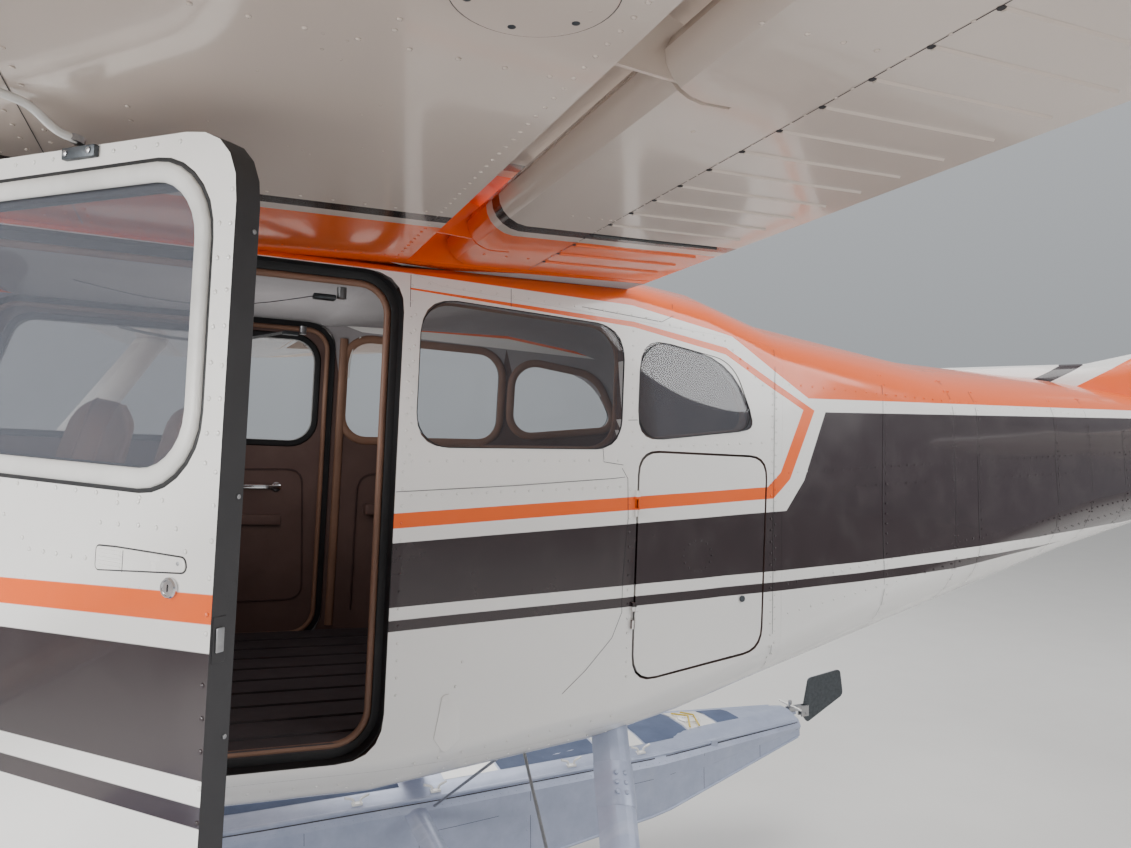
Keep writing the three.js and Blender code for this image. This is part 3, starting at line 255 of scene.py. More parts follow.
# Edges of the painted bands in side view, each as two stations (x, z) on a straight line
livery = {
    "orangeLevel": [(1.63, 1.021), (2.26, 1.020)],
    "orangeFall": [(2.261, 1.019), (2.585, 0.975)],
    "orangeDrop": [(2.585, 0.975), (2.792, 0.868)],
    "orangeTail": [(2.975, 0.829), (4.667, 0.897)],
    "loopTop": [(1.678, 0.990), (2.263, 0.979)],
    "loopTopRear": [(2.263, 0.979), (2.564, 0.942)],
    "loopTopEnd": [(2.564, 0.942), (2.902, 0.790)],
    "loopRear": [(2.772, 0.520), (2.902, 0.796)],
    "loopCorner": [(2.735, 0.528), (2.806, 0.592)],
    "loopLow": [(1.669, 0.461), (2.739, 0.536)],
    "bandTop": [(1.664, 0.429), (2.750, 0.500)],
    "bandCorner": [(2.790, 0.500), (2.860, 0.589)],
    "bandRise": [(2.860, 0.589), (2.943, 0.787)],
    "bandTail": [(2.943, 0.789), (4.637, 0.864)],
    "bandLow": [(1.662, 0.289), (3.087, 0.351)],
    "bandLowTail": [(3.087, 0.351), (3.527, 0.380)],
    "pinTop": [(1.664, 0.261), (3.087, 0.320)],
    "pinTopTail": [(3.087, 0.320), (3.528, 0.346)],
    "pinLow": [(1.662, 0.237), (3.087, 0.295)],
    "pinLowTail": [(3.087, 0.295), (3.537, 0.318)],
    "pinLowEnd": [(3.537, 0.318), (4.310, 0.396)],
}
# Widths of the loop's stripe; along the top it widens from front to rear
loopStripe = {
    "top": (0.004, 0.021), "topX": (1.68, 2.70), "low": 0.033, "rear": 0.094, "corner": 0.050, "front": 1.676,
}


def liveryColour(g, x, z):
    at = {key: line(g, x, points) for key, points in livery.items()}
    # Orange back, above a falling edge that levels out along the tail
    fall = g.math("MINIMUM", g.math("MINIMUM", at["orangeLevel"], at["orangeFall"]), at["orangeDrop"])
    orangeTop = g.above(z, g.math("MAXIMUM", fall, at["orangeTail"]))
    # Loop round the windows: inside distance in widths of its stripe
    topWidth = g.spread(x, *loopStripe["top"], *loopStripe["topX"])
    under = g.math("MINIMUM", g.math("MINIMUM", at["loopTop"], at["loopTopRear"]), at["loopTopEnd"])
    ahead = g.math("MULTIPLY", g.above(loopStripe["front"], x), 9.0)
    fromTop = g.math("ADD", g.math("DIVIDE", g.math("SUBTRACT", under, z), topWidth), ahead)
    fromLow = g.math("DIVIDE", g.math("SUBTRACT", z, at["loopLow"]), loopStripe["low"])
    rear = g.math("DIVIDE", g.math("SUBTRACT", z, at["loopRear"]), loopStripe["rear"])
    corner = g.math("DIVIDE", g.math("SUBTRACT", z, at["loopCorner"]), loopStripe["corner"])
    depth = g.math("MINIMUM", g.math("MINIMUM", fromTop, fromLow), g.math("MINIMUM", rear, corner))
    loop = g.math("MULTIPLY", g.above(depth, 0.0, 0.02), g.above(1.0, depth, 0.02))
    # Dark band and the pinstripe below it
    bandEdge = g.math("MAXIMUM", g.math("MAXIMUM", at["bandTop"], at["bandCorner"]), at["bandRise"])
    bandEdge = g.math("MINIMUM", bandEdge, at["bandTail"])
    bandLow = g.math("MAXIMUM", at["bandLow"], at["bandLowTail"])
    band = g.math("MULTIPLY", g.above(bandEdge, z), g.above(z, bandLow))
    pinTop = g.math("MAXIMUM", at["pinTop"], at["pinTopTail"])
    pinLow = g.math("MAXIMUM", g.math("MAXIMUM", at["pinLow"], at["pinLowTail"]), at["pinLowEnd"])
    pin = g.math("MULTIPLY", g.above(pinTop, z), g.above(z, pinLow))
    colour = g.mix(g.math("MAXIMUM", orangeTop, loop), paints["white"], paints["orange"])
    return g.mix(g.math("MAXIMUM", band, pin), colour, paints["maroon"])


def paintFinish(g, colour, roughness=0.16, waves=0.0011, waveScale=3.2):
    where = g.place()
    dust = g.noise(where, 9.0, 5.0, 0.62)
    colour = g.mix(g.spread(dust, 0.0, 0.030, 0.5, 0.8), colour, paints["dust"])
    panel = g.bump(g.noise(where, waveScale, 1.0, 0.3), waves, 1.0)
    peel = g.bump(g.noise(where, 420.0, 2.0, 0.5), 0.00006, 0.5, panel)
    return g.finish(
        colour=colour, roughness=g.spread(dust, roughness, roughness + 0.10), normal=peel, coat=0.45,
        coatRoughness=0.06,
    )


def bodyPaint():
    g = Graph("bodyPaint")
    x, y, z = g.station()
    return paintFinish(g, liveryColour(g, x, z))


def plainPaint(name, colour, roughness=0.18):
    g = Graph(name)
    return paintFinish(g, colour, roughness)


# Wing paint: orange at the root, then a white line and a black one, all across the chord; the wing's white is
# darkened and warmed into a painted shade with a painted warm reflection
wingBands = {"orangeEnd": 0.890, "whiteEnd": 0.925, "blackEnd": 0.965}


def wingPaint():
    g = Graph("wingPaint")
    x, y, z = g.station()
    out = g.math("ABSOLUTE", y)
    black = g.math("MULTIPLY", g.above(out, wingBands["whiteEnd"]), g.above(wingBands["blackEnd"], out))
    orange = g.above(wingBands["orangeEnd"], out)
    colour = g.mix(orange, paints["wingWhite"], paints["orange"])
    colour = g.mix(black, colour, paints["black"])
    return paintFinish(g, colour, 0.14, 0.0016, 2.6)


# Tail paint: dark and orange bands that sweep up the fin, as heights above a slanting line
finBands = {"slope": -0.42, "orangeEnd": -0.915, "darkStart": -0.845, "darkEnd": -0.800}


def finPaint():
    g = Graph("finPaint")
    x, y, z = g.station()
    sweep = g.math("MULTIPLY_ADD", x, finBands["slope"], z)
    orange = g.above(finBands["orangeEnd"], sweep)
    dark = g.math("MULTIPLY", g.above(sweep, finBands["darkStart"]), g.above(finBands["darkEnd"], sweep))
    colour = g.mix(orange, paints["white"], paints["orange"])
    return paintFinish(g, g.mix(dark, colour, paints["maroon"]))


floatTones = {
    "base": (0.41, 0.45, 0.58), "worn": (0.34, 0.38, 0.50), "streak": (0.62, 0.64, 0.70),
    "stain": (0.20, 0.19, 0.16), "stainBelow": 0.20,
}


def floatPaint():
    g = Graph("floatPaint")
    where = g.place()
    x, y, z = g.station()
    wear = g.noise(where, 14.0, 6.0, 0.65)
    streak = g.noise(where, 5.0, 4.0, 0.6, (1.0, 6.0, 0.4))
    colour = g.mix(g.spread(wear, 0.0, 1.0), floatTones["base"], floatTones["worn"])
    colour = g.mix(g.spread(streak, 0.0, 0.35, 0.55, 0.8), colour, floatTones["streak"])
    low = g.above(floatTones["stainBelow"], z, 0.08)
    stain = g.math("MULTIPLY", low, g.spread(wear, 0.2, 0.7, 0.4, 0.7))
    colour = g.mix(stain, colour, floatTones["stain"])
    ripple = g.bump(g.noise(where, 6.0, 2.0, 0.4), 0.0016)
    scuff = g.bump(wear, 0.0002, 0.6, ripple)
    return g.finish(colour=colour, metallic=0.35, roughness=g.spread(streak, 0.30, 0.46), normal=scuff)


def metal(name, colour, roughness, scale=60.0):
    g = Graph(name)
    where = g.add("ShaderNodeTexCoord").outputs["Object"]
    grain = g.noise(where, scale, 4.0, 0.6)
    tone = g.mix(g.spread(grain, 0.0, 1.0), colour, tuple(c * 0.78 for c in colour))
    return g.finish(
        colour=tone, metallic=1.0, roughness=g.spread(grain, roughness * 0.8, roughness * 1.3),
        normal=g.bump(grain, 0.0002, 0.4),
    )


def moulded(name, colour, roughness, grainScale=700.0, depth=0.0002, coat=0.0):
    g = Graph(name)
    where = g.add("ShaderNodeTexCoord").outputs["Object"]
    grain = g.noise(where, grainScale, 3.0, 0.6)
    wear = g.noise(where, 6.0, 5.0, 0.6)
    tone = g.mix(g.spread(wear, 0.0, 1.0), colour, tuple(c * 0.72 for c in colour))
    return g.finish(
        colour=tone, roughness=g.spread(wear, roughness, roughness + 0.14),
        normal=g.bump(grain, depth, 0.6), coat=coat,
    )


def leather(name, colour):
    g = Graph(name)
    where = g.add("ShaderNodeTexCoord").outputs["Object"]
    cells = g.add(
        "ShaderNodeTexVoronoi", {"feature": "DISTANCE_TO_EDGE"}, {"Vector": where, "Scale": 330.0},
    ).outputs[0]
    pores = g.spread(cells, 0.0, 1.0, 0.0, 0.22)
    wear = g.noise(where, 7.0, 5.0, 0.6)
    tone = g.mix(g.spread(wear, 0.0, 1.0), colour, tuple(c * 0.6 for c in colour))
    creases = g.bump(g.noise(where, 28.0, 4.0, 0.6), 0.0018, 0.5)
    return g.finish(
        colour=tone, roughness=g.spread(wear, 0.42, 0.6), normal=g.bump(pores, 0.0003, 0.5, creases),
    )


def cloth(name, colour, scale=900.0):
    g = Graph(name)
    where = g.add("ShaderNodeTexCoord").outputs["Object"]
    warp = g.add(
        "ShaderNodeTexWave", {"bands_direction": "X"},
        {"Vector": where, "Scale": scale / 6, "Distortion": 1.5},
    )
    weft = g.add(
        "ShaderNodeTexWave", {"bands_direction": "Y"},
        {"Vector": where, "Scale": scale / 6, "Distortion": 1.5},
    )
    weave = g.math("MULTIPLY", warp.outputs["Fac"], weft.outputs["Fac"])
    shade = g.noise(where, 4.0, 4.0, 0.6)
    tone = g.mix(g.spread(shade, 0.0, 1.0), colour, tuple(c * 0.82 for c in colour))
    return g.finish(colour=tone, roughness=0.9, sheen=0.3, normal=g.bump(weave, 0.0004, 0.5))


def acrylic(name, tint, clear):
    g = Graph(name)
    edge = g.add("ShaderNodeLayerWeight", inputs={"Blend": 0.42}).outputs["Fresnel"]
    haze = g.noise(g.add("ShaderNodeTexCoord").outputs["Object"], 2.2, 2.0)
    alpha = g.math("ADD", g.spread(edge, clear, 0.55, 0.05, 0.8), g.spread(haze, 0.0, 0.02))
    return g.finish(colour=tint, roughness=0.02, alpha=alpha, specular=1.0, ior=1.9)


finish = {
    "body": bodyPaint(), "wing": wingPaint(), "fin": finPaint(), "float": floatPaint(),
    "white": plainPaint("whitePaint", paints["white"]),
    "spinner": plainPaint("spinnerPaint", paints["white"], 0.12),
    "rubber": moulded("sealRubber", (0.010, 0.010, 0.011), 0.55),
    "edgeTrim": moulded("edgeTrim", (0.035, 0.034, 0.037), 0.42),
    # The bead's colour is its own brown lightened to tan: partly a painted highlight
    "beadBrownPaintedHighlight": moulded("brownBeadPaintedHighlight", (0.25, 0.135, 0.088), 0.45),
    "trim": moulded("brownTrim", (0.115, 0.066, 0.056), 0.5, 420.0, 0.0004),
    "trimDark": moulded("darkTrim", (0.062, 0.034, 0.032), 0.55, 420.0, 0.0004),
    "floorMat": moulded("floorMat", (0.052, 0.042, 0.046), 0.62, 300.0, 0.0006),
    "panel": moulded("panelPlastic", (0.018, 0.018, 0.019), 0.6),
    "frameWhite": moulded("windowFrameWhite", (0.74, 0.73, 0.70), 0.38, 500.0, 0.00015),
    "headliner": cloth("headlinerCloth", (0.34, 0.315, 0.32)),
    "belt": cloth("beltWebbing", (0.016, 0.016, 0.018), 1500.0),
    "leather": leather("seatLeather", (0.23, 0.105, 0.052)),
    "glass": acrylic("clearAcrylic", (0.16, 0.17, 0.20), 0.05),
    "chrome": metal("chromedSteel", (0.75, 0.75, 0.77), 0.12, 200.0),
    "steel": metal("brightSteel", (0.42, 0.42, 0.43), 0.32),
    "darkMetal": metal("darkBladeMetal", (0.10, 0.11, 0.12), 0.45),
    "engine": metal("castEngine", (0.16, 0.16, 0.165), 0.55, 90.0),
    "exhaust": metal("heatedSteel", (0.20, 0.15, 0.11), 0.5, 40.0),
    "propeller": moulded("propellerPaint", (0.012, 0.012, 0.013), 0.32, 300.0, 0.0001, 0.4),
    "deckBlue": moulded("deckWalkway", (0.080, 0.110, 0.20), 0.7, 260.0, 0.0008),
    "yellowTape": moulded("yellowTape", (0.72, 0.52, 0.04), 0.4),
    "seam": moulded("seamShadow", (0.035, 0.032, 0.034), 0.7),
}
print("stage: finishes")


# Surfaces that the details follow, in stations
bodyFrames = [
    # x, top, bottom, shoulder and lower half widths,
    # rounding of the top (across, down) and of the bottom (across, up)
    (-0.952, 0.395, 0.020, 0.250, 0.260, 0.230, 0.160, 0.235, 0.150),
    (-0.915, 0.440, -0.040, 0.355, 0.360, 0.290, 0.180, 0.290, 0.160),
    (-0.820, 0.470, -0.095, 0.410, 0.420, 0.330, 0.180, 0.320, 0.160),
    (-0.400, 0.520, -0.130, 0.450, 0.465, 0.370, 0.170, 0.330, 0.140),
    (0.000, 0.560, -0.150, 0.478, 0.495, 0.380, 0.160, 0.330, 0.130),
    (0.200, 0.602, -0.170, 0.520, 0.545, 0.400, 0.150, 0.360, 0.140),
    (0.640, 1.078, -0.190, 0.560, 0.575, 0.080, 0.040, 0.400, 0.150),
    (0.780, 1.046, -0.190, 0.560, 0.575, 0.060, 0.026, 0.400, 0.150),
    (1.660, 1.046, -0.190, 0.560, 0.575, 0.060, 0.026, 0.400, 0.150),
    (2.250, 1.150, -0.140, 0.498, 0.523, 0.460, 0.120, 0.380, 0.160),
    (2.500, 1.135, -0.100, 0.468, 0.500, 0.445, 0.140, 0.390, 0.175),
    (2.775, 1.072, -0.035, 0.432, 0.476, 0.412, 0.160, 0.400, 0.190),
    (3.500, 1.006, 0.125, 0.345, 0.380, 0.330, 0.200, 0.340, 0.230),
    (4.300, 1.000, 0.320, 0.245, 0.272, 0.235, 0.220, 0.255, 0.230),
    (5.310, 0.955, 0.530, 0.120, 0.136, 0.115, 0.180, 0.130, 0.190),
    (5.880, 0.935, 0.640, 0.050, 0.056, 0.048, 0.120, 0.052, 0.140),
]


def bodyFrame(x):
    x = min(max(x, bodyFrames[0][0]), bodyFrames[-1][0])
    for low, high in zip(bodyFrames, bodyFrames[1:]):
        if x <= high[0]:
            break
    share = (x - low[0]) / (high[0] - low[0])
    return [a + (b - a) * share for a, b in zip(low, high)][1:]


def bodyHalf(x, z):
    top, bottom, upper, lower, topAcross, topDown, bottomAcross, bottomUp = bodyFrame(x)
    if z < bottom + bottomUp:
        below = (bottom + bottomUp - z) / bottomUp
        return lower - bottomAcross + bottomAcross * math.sqrt(max(0, 1 - below**2))
    if z > top - topDown:
        over = (z - top + topDown) / topDown
        return upper - topAcross + topAcross * math.sqrt(max(0, 1 - over**2))
    return lower + (upper - lower) * (z - bottom - bottomUp) / (top - topDown - bottom - bottomUp)


def smoothFrame(x):
    # Frames averaged over a short stretch, so that the shading rolls over them
    rows = [bodyFrame(x + step * 0.05) for step in (-2, -1, 0, 1, 2)]
    return [sum(column) / len(rows) for column in zip(*rows)]


def bodyLevel(row, y, z, zone):
    top, bottom, upper, lower, topAcross, topDown, bottomAcross, bottomUp = row
    if zone == "top":
        across = max(0.0, abs(y) - upper + topAcross) / topAcross
        return across**2 + ((z - top + topDown) / topDown) ** 2 - 1
    if zone == "bottom":
        across = max(0.0, abs(y) - lower + bottomAcross) / bottomAcross
        return across**2 + ((bottom + bottomUp - z) / bottomUp) ** 2 - 1
    return abs(y) - lower - (upper - lower) * (z - bottom - bottomUp) / (top - topDown - bottom - bottomUp)


def bodyNormal(point):
    x, y, z = point
    row = smoothFrame(x)
    zone = "top" if z > row[0] - row[5] else "bottom" if z < row[1] + row[7] else "side"
    step = 0.002
    before, after = smoothFrame(x - 0.03), smoothFrame(x + 0.03)
    slope = Vector((
        (bodyLevel(after, y, z, zone) - bodyLevel(before, y, z, zone)) / 0.06,
        (bodyLevel(row, y + step, z, zone) - bodyLevel(row, y - step, z, zone)) / (2 * step),
        (bodyLevel(row, y, z + step, zone) - bodyLevel(row, y, z - step, zone)) / (2 * step),
    ))
    return slope.normalized() if slope.length > 1e-9 else Vector((0, 0, 1))


def onBody(x, z, side=-1, off=0.0):
    point = Vector((x, side * bodyHalf(x, z), z))
    normal = bodyNormal(point)
    return point + normal * off, normal


wing = {
    "span": 10.92, "rootChord": 1.626, "tipChord": 1.118, "rootY": 0.572, "taperY": 2.54, "rearX": 2.248,
    "rearZ": 1.068, "dihedral": math.radians(1.73), "rootTurn": math.radians(1.5),
    "tipTurn": math.radians(-1.5), "camber": 0.02, "camberAt": 0.4, "thickness": 0.12,
}


def meanLine(t):
    m, p = wing["camber"], wing["camberAt"]
    if t < p:
        return m / p**2 * (2 * p * t - t * t)
    return m / (1 - p) ** 2 * (1 - 2 * p + 2 * p * t - t * t)


def halfThickness(t):
    t = max(t, 0.0)
    curve = 0.2969 * math.sqrt(t) - 0.126 * t - 0.3516 * t**2 + 0.2843 * t**3 - 0.1015 * t**4
    return 5 * wing["thickness"] * curve + 0.002 * t


def wingSection(y):
    share = max(0.0, (y - wing["taperY"]) / (wing["span"] / 2 - wing["taperY"]))
    chord = wing["rootChord"] + (wing["tipChord"] - wing["rootChord"]) * share
    leading = wing["rearX"] - wing["rootChord"] + (wing["rootChord"] - wing["tipChord"]) / 4 * share
    turn = wing["rootTurn"] + (wing["tipTurn"] - wing["rootTurn"]) * share
    quarter = wing["rearZ"] + 0.75 * wing["rootChord"] * math.sin(wing["rootTurn"])
    return chord, leading, turn, quarter + math.tan(wing["dihedral"]) * (y - wing["rootY"])


def wingPoint(t, h, y, side=1):
    chord, leading, turn, quarter = wingSection(y)
    return Vector((leading + chord * t, side * y, quarter - (t - 0.25) * chord * math.tan(turn) + chord * h))


def wingSkin(t, y, side, top, off=0.0):
    sign = 1 if top else -1
    point = wingPoint(t, meanLine(t) + sign * halfThickness(t), y, side)
    ahead = wingPoint(t - 0.01, meanLine(t - 0.01) + sign * halfThickness(t - 0.01), y, side)
    behind = wingPoint(t + 0.01, meanLine(t + 0.01) + sign * halfThickness(t + 0.01), y, side)
    outer = wingPoint(t, meanLine(t) + sign * halfThickness(t), y + 0.02, side)
    normal = (behind - ahead).cross(outer - point).normalized()
    if normal.z * sign < 0:
        normal = -normal
    return point + normal * off, normal


def wingNormal(point, face):
    y = abs(point.y)
    chord, leading = wingSection(y)[:2]
    t = (point.x - leading) / chord
    if t < 0.004:
        return None
    return wingSkin(min(t, 0.99), min(y, 5.40), 1 if point.y > 0 else -1, face.z > 0)[1]


# Copies of the model's solids with smooth shading and stations for the paint
def shaded(mesh, rule, toWorld, angle=0.6):
    toStation = toWorld.inverted()
    turn, turnBack = toWorld.to_3x3(), toStation.to_3x3()
    faceNormals = [polygon.normal.copy() for polygon in mesh.polygons]
    around = [[] for vertex in mesh.vertices]
    for polygon in mesh.polygons:
        for index in polygon.vertices:
            around[index].append(polygon.index)
    areas = [polygon.area for polygon in mesh.polygons]
    normals = []
    limit = math.cos(angle)
    for polygon in mesh.polygons:
        face = faceNormals[polygon.index]
        for index in polygon.vertices:
            made = None
            if rule:
                found = rule(toStation @ mesh.vertices[index].co, turnBack @ face)
                if found is not None:
                    found = (turn @ found).normalized()
                    if found.dot(face) > 0.86:
                        made = found
            if made is None:
                total = Vector()
                for other in around[index]:
                    if faceNormals[other].dot(face) > limit:
                        total += faceNormals[other] * max(areas[other], 1e-7) ** 0.5
                made = total.normalized() if total.length > 0 else face
            normals.append(made)
    mesh.polygons.foreach_set("use_smooth", [True] * len(mesh.polygons))
    mesh.normals_split_custom_set(normals)


def link(name, mesh, material, node, others=()):
    # Each piece rides on the body of a node
    piece = bpy.data.objects.new(name, mesh)
    bpy.context.scene.collection.objects.link(piece)
    mesh.materials.clear()
    for key in (material, *others):
        mesh.materials.append(finish[key])
    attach(piece, bodyOf[node])
    return piece


def addStations(mesh, toWorld):
    toStation = toWorld.inverted()
    attribute = mesh.attributes.new("station", "FLOAT_VECTOR", "POINT")
    flat = []
    for vertex in mesh.vertices:
        flat.extend(toStation @ vertex.co)
    attribute.data.foreach_set("vector", flat)


def dressed(node, material, rule=None, toWorld=craftMatrix, others=(), choose=None, angle=0.6):
    source = nodes[node].data
    mesh = bpy.data.meshes.new(node + ".skin")
    mesh.from_pydata([v.co.copy() for v in source.vertices], [], [tuple(p.vertices) for p in source.polygons])
    work = bmesh.new()
    work.from_mesh(mesh)
    bmesh.ops.remove_doubles(work, verts=work.verts, dist=2e-5)
    work.to_mesh(mesh)
    work.free()
    mesh.update()
    addStations(mesh, toWorld)
    shaded(mesh, rule, toWorld, angle)
    piece = link(node + ".skin", mesh, material, node, others)
    if choose:
        toStation = toWorld.inverted()
        turnBack = toStation.to_3x3()
        for polygon in mesh.polygons:
            polygon.material_index = choose(toStation @ polygon.center, turnBack @ polygon.normal)
    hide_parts(node)
    return piece


def bodyRule(point, face):
    normal = bodyNormal(point)
    return normal if normal.dot(face) > 0 else -normal


# Outside faces are painted; inside faces are trimmed, with the lining above the windows
lining = {"from": 0.66, "wall": 0.012, "middle": 0.45, "doorWall": 0.004}


def cabinFaces(point, normal):
    top, bottom = bodyFrame(point.x)[:2]
    wall = lining["wall"]
    if normal.y * point.y + normal.z * (point.z - lining["middle"]) > 0:
        beside = abs(point.y) > bodyHalf(point.x, point.z) - wall
        return 0 if beside or point.z < bottom + wall or point.z > top - wall else 1
    if abs(normal.x) > 0.8:
        return 1
    return 2 if point.z > lining["from"] else 1


for side in ("left", "right"):
    dressed(f"cabin_side_{side}", "body", bodyRule, craftMatrix, ("trim", "headliner"), cabinFaces)
    dressed(f"wing_{side}", "wing", wingNormal)
    dressed(f"flap_{side}", "wing", wingNormal)
    dressed(f"aileron_{side}", "wing", wingNormal)
    dressed(f"wing_strut_{side}", "white")
    dressed(f"float_{side}", "float", None, levelMatrix, angle=0.45)
    for place in ("front", "rear"):
        dressed(f"float_strut_{place}_{side}", "float", None, levelMatrix)
        dressed(f"stay_{place}_{side}", "steel", None, levelMatrix)
    dressed(f"water_rudder_post_{side}", "steel", None, levelMatrix)
    dressed(f"water_rudder_blade_{side}", "darkMetal", None, levelMatrix)
    for pane in ("mid", "rear"):
        dressed(f"window_{pane}_{side}", "glass", bodyRule)
for place in ("front", "rear"):
    dressed(f"spreader_{place}", "float", None, levelMatrix)


def doorFaces(point, normal):
    if abs(normal.y) < 0.5:
        return 2
    return 0 if abs(point.y) > bodyHalf(point.x, point.z) - lining["doorWall"] else 1


for way, side, place in bothDoors:
    dressed(f"door_{side}", "body", bodyRule, place, ("trim", "edgeTrim"), doorFaces)
    dressed(f"door_window_{side}", "glass", bodyRule, place)
dressed("baggage_door", "body", bodyRule, craftMatrix, ("trim",), lambda p, n: 1 if n.y > 0.5 else 0)
dressed("windshield", "glass", bodyRule)
dressed("cabin_belly", "body", bodyRule, craftMatrix, ("trimDark",), lambda p, n: 1 if n.z > 0.3 else 0)
dressed("tail_cone", "body", bodyRule)
dressed("cowling", "body", bodyRule)
plainSkins = {
    "firewall": "panel", "baggage_bulkhead": "trim", "cabin_floor": "floorMat", "engine_block": "engine",
    "exhaust_stack": "exhaust", "propeller": "propeller", "spinner": "spinner", "instrument_panel": "panel",
    "stabilizer": "white", "elevator": "white", "fin": "fin", "rudder": "fin",
}
for node, material in plainSkins.items():
    dressed(node, material)


# The roof follows the wings' skin above the cabin, and its underside is lined
roof = {"above": 1.0, "rearX": 2.25, "half": 0.572, "lining": {"half": 0.55, "above": 0.9, "fromX": 0.70}}


def roofRule(point, face):
    middle = point.z > roof["above"] and point.x < roof["rearX"] and abs(point.y) < roof["half"]
    if middle and face.z > 0.2:
        return wingNormal(Vector((point.x, 0.6, point.z)), face)
    return bodyRule(point, face)


def roofFaces(point, normal):
    area = roof["lining"]
    inner = abs(point.y) < area["half"] and point.z > area["above"] and point.x > area["fromX"]
    return 1 if inner and normal.z < -0.2 else 0


dressed("cabin_roof", "body", roofRule, craftMatrix, ("headliner",), roofFaces)
print("stage: skins dressed")


# Makers of detail pieces
def meshFrom(name, points, faces, smooth=True, crease=None):
    mesh = bpy.data.meshes.new(name)
    mesh.from_pydata(points, [], faces)
    mesh.validate()
    mesh.update()
    work = bmesh.new()
    work.from_mesh(mesh)
    bmesh.ops.recalc_face_normals(work, faces=work.faces)
    work.to_mesh(mesh)
    work.free()
    mesh.polygons.foreach_set("use_smooth", [smooth] * len(mesh.polygons))
    if crease:
        mesh.set_sharp_from_angle(angle=crease)
    return mesh


def across(normal):
    side = Vector((1, 0, 0)).cross(normal)
    if side.length < 0.3:
        side = Vector((0, 1, 0)).cross(normal)
    side.normalize()
    return side, normal.cross(side).normalized()


def hoop(rings, sides, start=0, closed=False):
    # Faces between rings of points that follow one another
    faces = []
    for ring in range(rings if closed else rings - 1):
        low, high = start + ring * sides, start + (ring + 1) % rings * sides
        for step in range(sides):
            other = (step + 1) % sides
            faces.append((low + step, low + other, high + other, high + step))
    return faces


def stepped(low, high, count):
    return [low + (high - low) * k / count for k in range(count + 1)]


def spacedOver(low, high, pitch):
    return stepped(low, high, max(1, round((high - low) / pitch)))


# Radius and height of each kind of head
heads = {
    "skin": (0.0032, 0.0013), "pin": (0.0016, 0.0006), "baggage": (0.0024, 0.0010),
    "wing": (0.0034, 0.0014), "wingPin": (0.0018, 0.0006), "ribEnd": (0.0048, 0.0012),
    "flap": (0.0032, 0.0012), "flapTop": (0.0030, 0.0011), "flapScrew": (0.0026, 0.0008),
    "cuff": (0.0065, 0.0032), "cowl": (0.0062, 0.0016), "spinner": (0.0045, 0.0016),
}


def rivets(name, spots, material, node, kind="skin", toWorld=craftMatrix, sides=8):
    # Domed heads: spots are (point, normal) pairs
    radius, height = heads[kind]
    points, faces = [], []
    turn = toWorld.to_3x3()
    rings = ((1.0, -0.2), (0.86, 0.55), (0.45, 0.92))
    for point, normal in spots:
        centre, up = toWorld @ point, (turn @ normal).normalized()
        right, ahead = across(up)
        start = len(points)
        for width, rise in rings:
            for step in range(sides):
                angle = 2 * math.pi * step / sides
                points.append(
                    centre + (right * math.cos(angle) + ahead * math.sin(angle)) * radius * width
                    + up * height * rise
                )
        points.append(centre + up * height)
        faces.extend(hoop(len(rings), sides, start))
        last = start + (len(rings) - 1) * sides
        for step in range(sides):
            faces.append((last + step, last + (step + 1) % sides, len(points) - 1))
        faces.append(tuple(start + step for step in reversed(range(sides))))
    mesh = meshFrom(name, points, faces)
    addStations(mesh, toWorld)
    return link(name, mesh, material, node)


def spaced(start, end, pitch):
    # Evenly spaced places from one station to another, about a pitch apart
    length = math.dist(start, end)
    count = max(1, round(length / pitch))
    return [tuple(a + (b - a) * step / count for a, b in zip(start, end)) for step in range(count + 1)]


def bodyRow(points, pitch, side=-1):
    # Places of heads along a path of stations (x, z), a little above the skin
    pairs = zip(points, points[1:])
    return [onBody(x, z, side, 0.0001) for start, end in pairs for x, z in spaced(start, end, pitch)]


def cornerPath(corners, steps=7):
    # Rounded outline of corners (x, z, radius) as points, counted once round
    path = []
    count = len(corners)
    for index, (x, z, radius) in enumerate(corners):
        here = Vector((x, z))
        before = Vector(corners[index - 1][:2]) - here
        after = Vector(corners[(index + 1) % count][:2]) - here
        half = before.angle(after) / 2
        reach = radius / math.tan(half)
        start, end = here + before.normalized() * reach, here + after.normalized() * reach
        centre = here + (before.normalized() + after.normalized()).normalized() * (radius / math.sin(half))
        first, last = start - centre, end - centre
        sweep = first.angle_signed(last)
        for step in range(steps + 1):
            angle = -sweep * step / steps
            c, s = math.cos(angle), math.sin(angle)
            path.append(Vector((centre.x + first.x * c - first.y * s, centre.y + first.x * s + first.y * c)))
    return path


def evened(path, spacing, closed=True):
    # Adds points so that no step is longer than the spacing
    made = []
    pairs = list(zip(path, path[1:] + path[:1])) if closed else list(zip(path, path[1:]))
    for a, b in pairs:
        count = max(1, math.ceil((b - a).length / spacing))
        made.extend(a.lerp(b, step / count) for step in range(count))
    if not closed:
        made.append(path[-1])
    return made


def sweep(name, points, normals, profile, material, node, closed=True, toWorld=craftMatrix):
    # Profile points (out, up): out lies in the surface, square to the path, and up along the normal
    rings = []
    count = len(points)
    for index, point in enumerate(points):
        before = points[index - 1] if closed or index else point
        after = points[(index + 1) % count] if closed or index < count - 1 else point
        along = (after - before).normalized()
        up = (normals[index] - along * normals[index].dot(along)).normalized()
        out = along.cross(up).normalized()
        rings.append([toWorld @ (point + out * a + up * b) for a, b in profile])
    wide = len(profile)
    faces = hoop(count, wide, 0, closed)
    if not closed:
        faces.append(tuple(range(wide)))
        faces.append(tuple((count - 1) * wide + step for step in reversed(range(wide))))
    flat = [point for ring in rings for point in ring]
    mesh = meshFrom(name, flat, faces, True, 0.9)
    addStations(mesh, toWorld)
    return link(name, mesh, material, node)


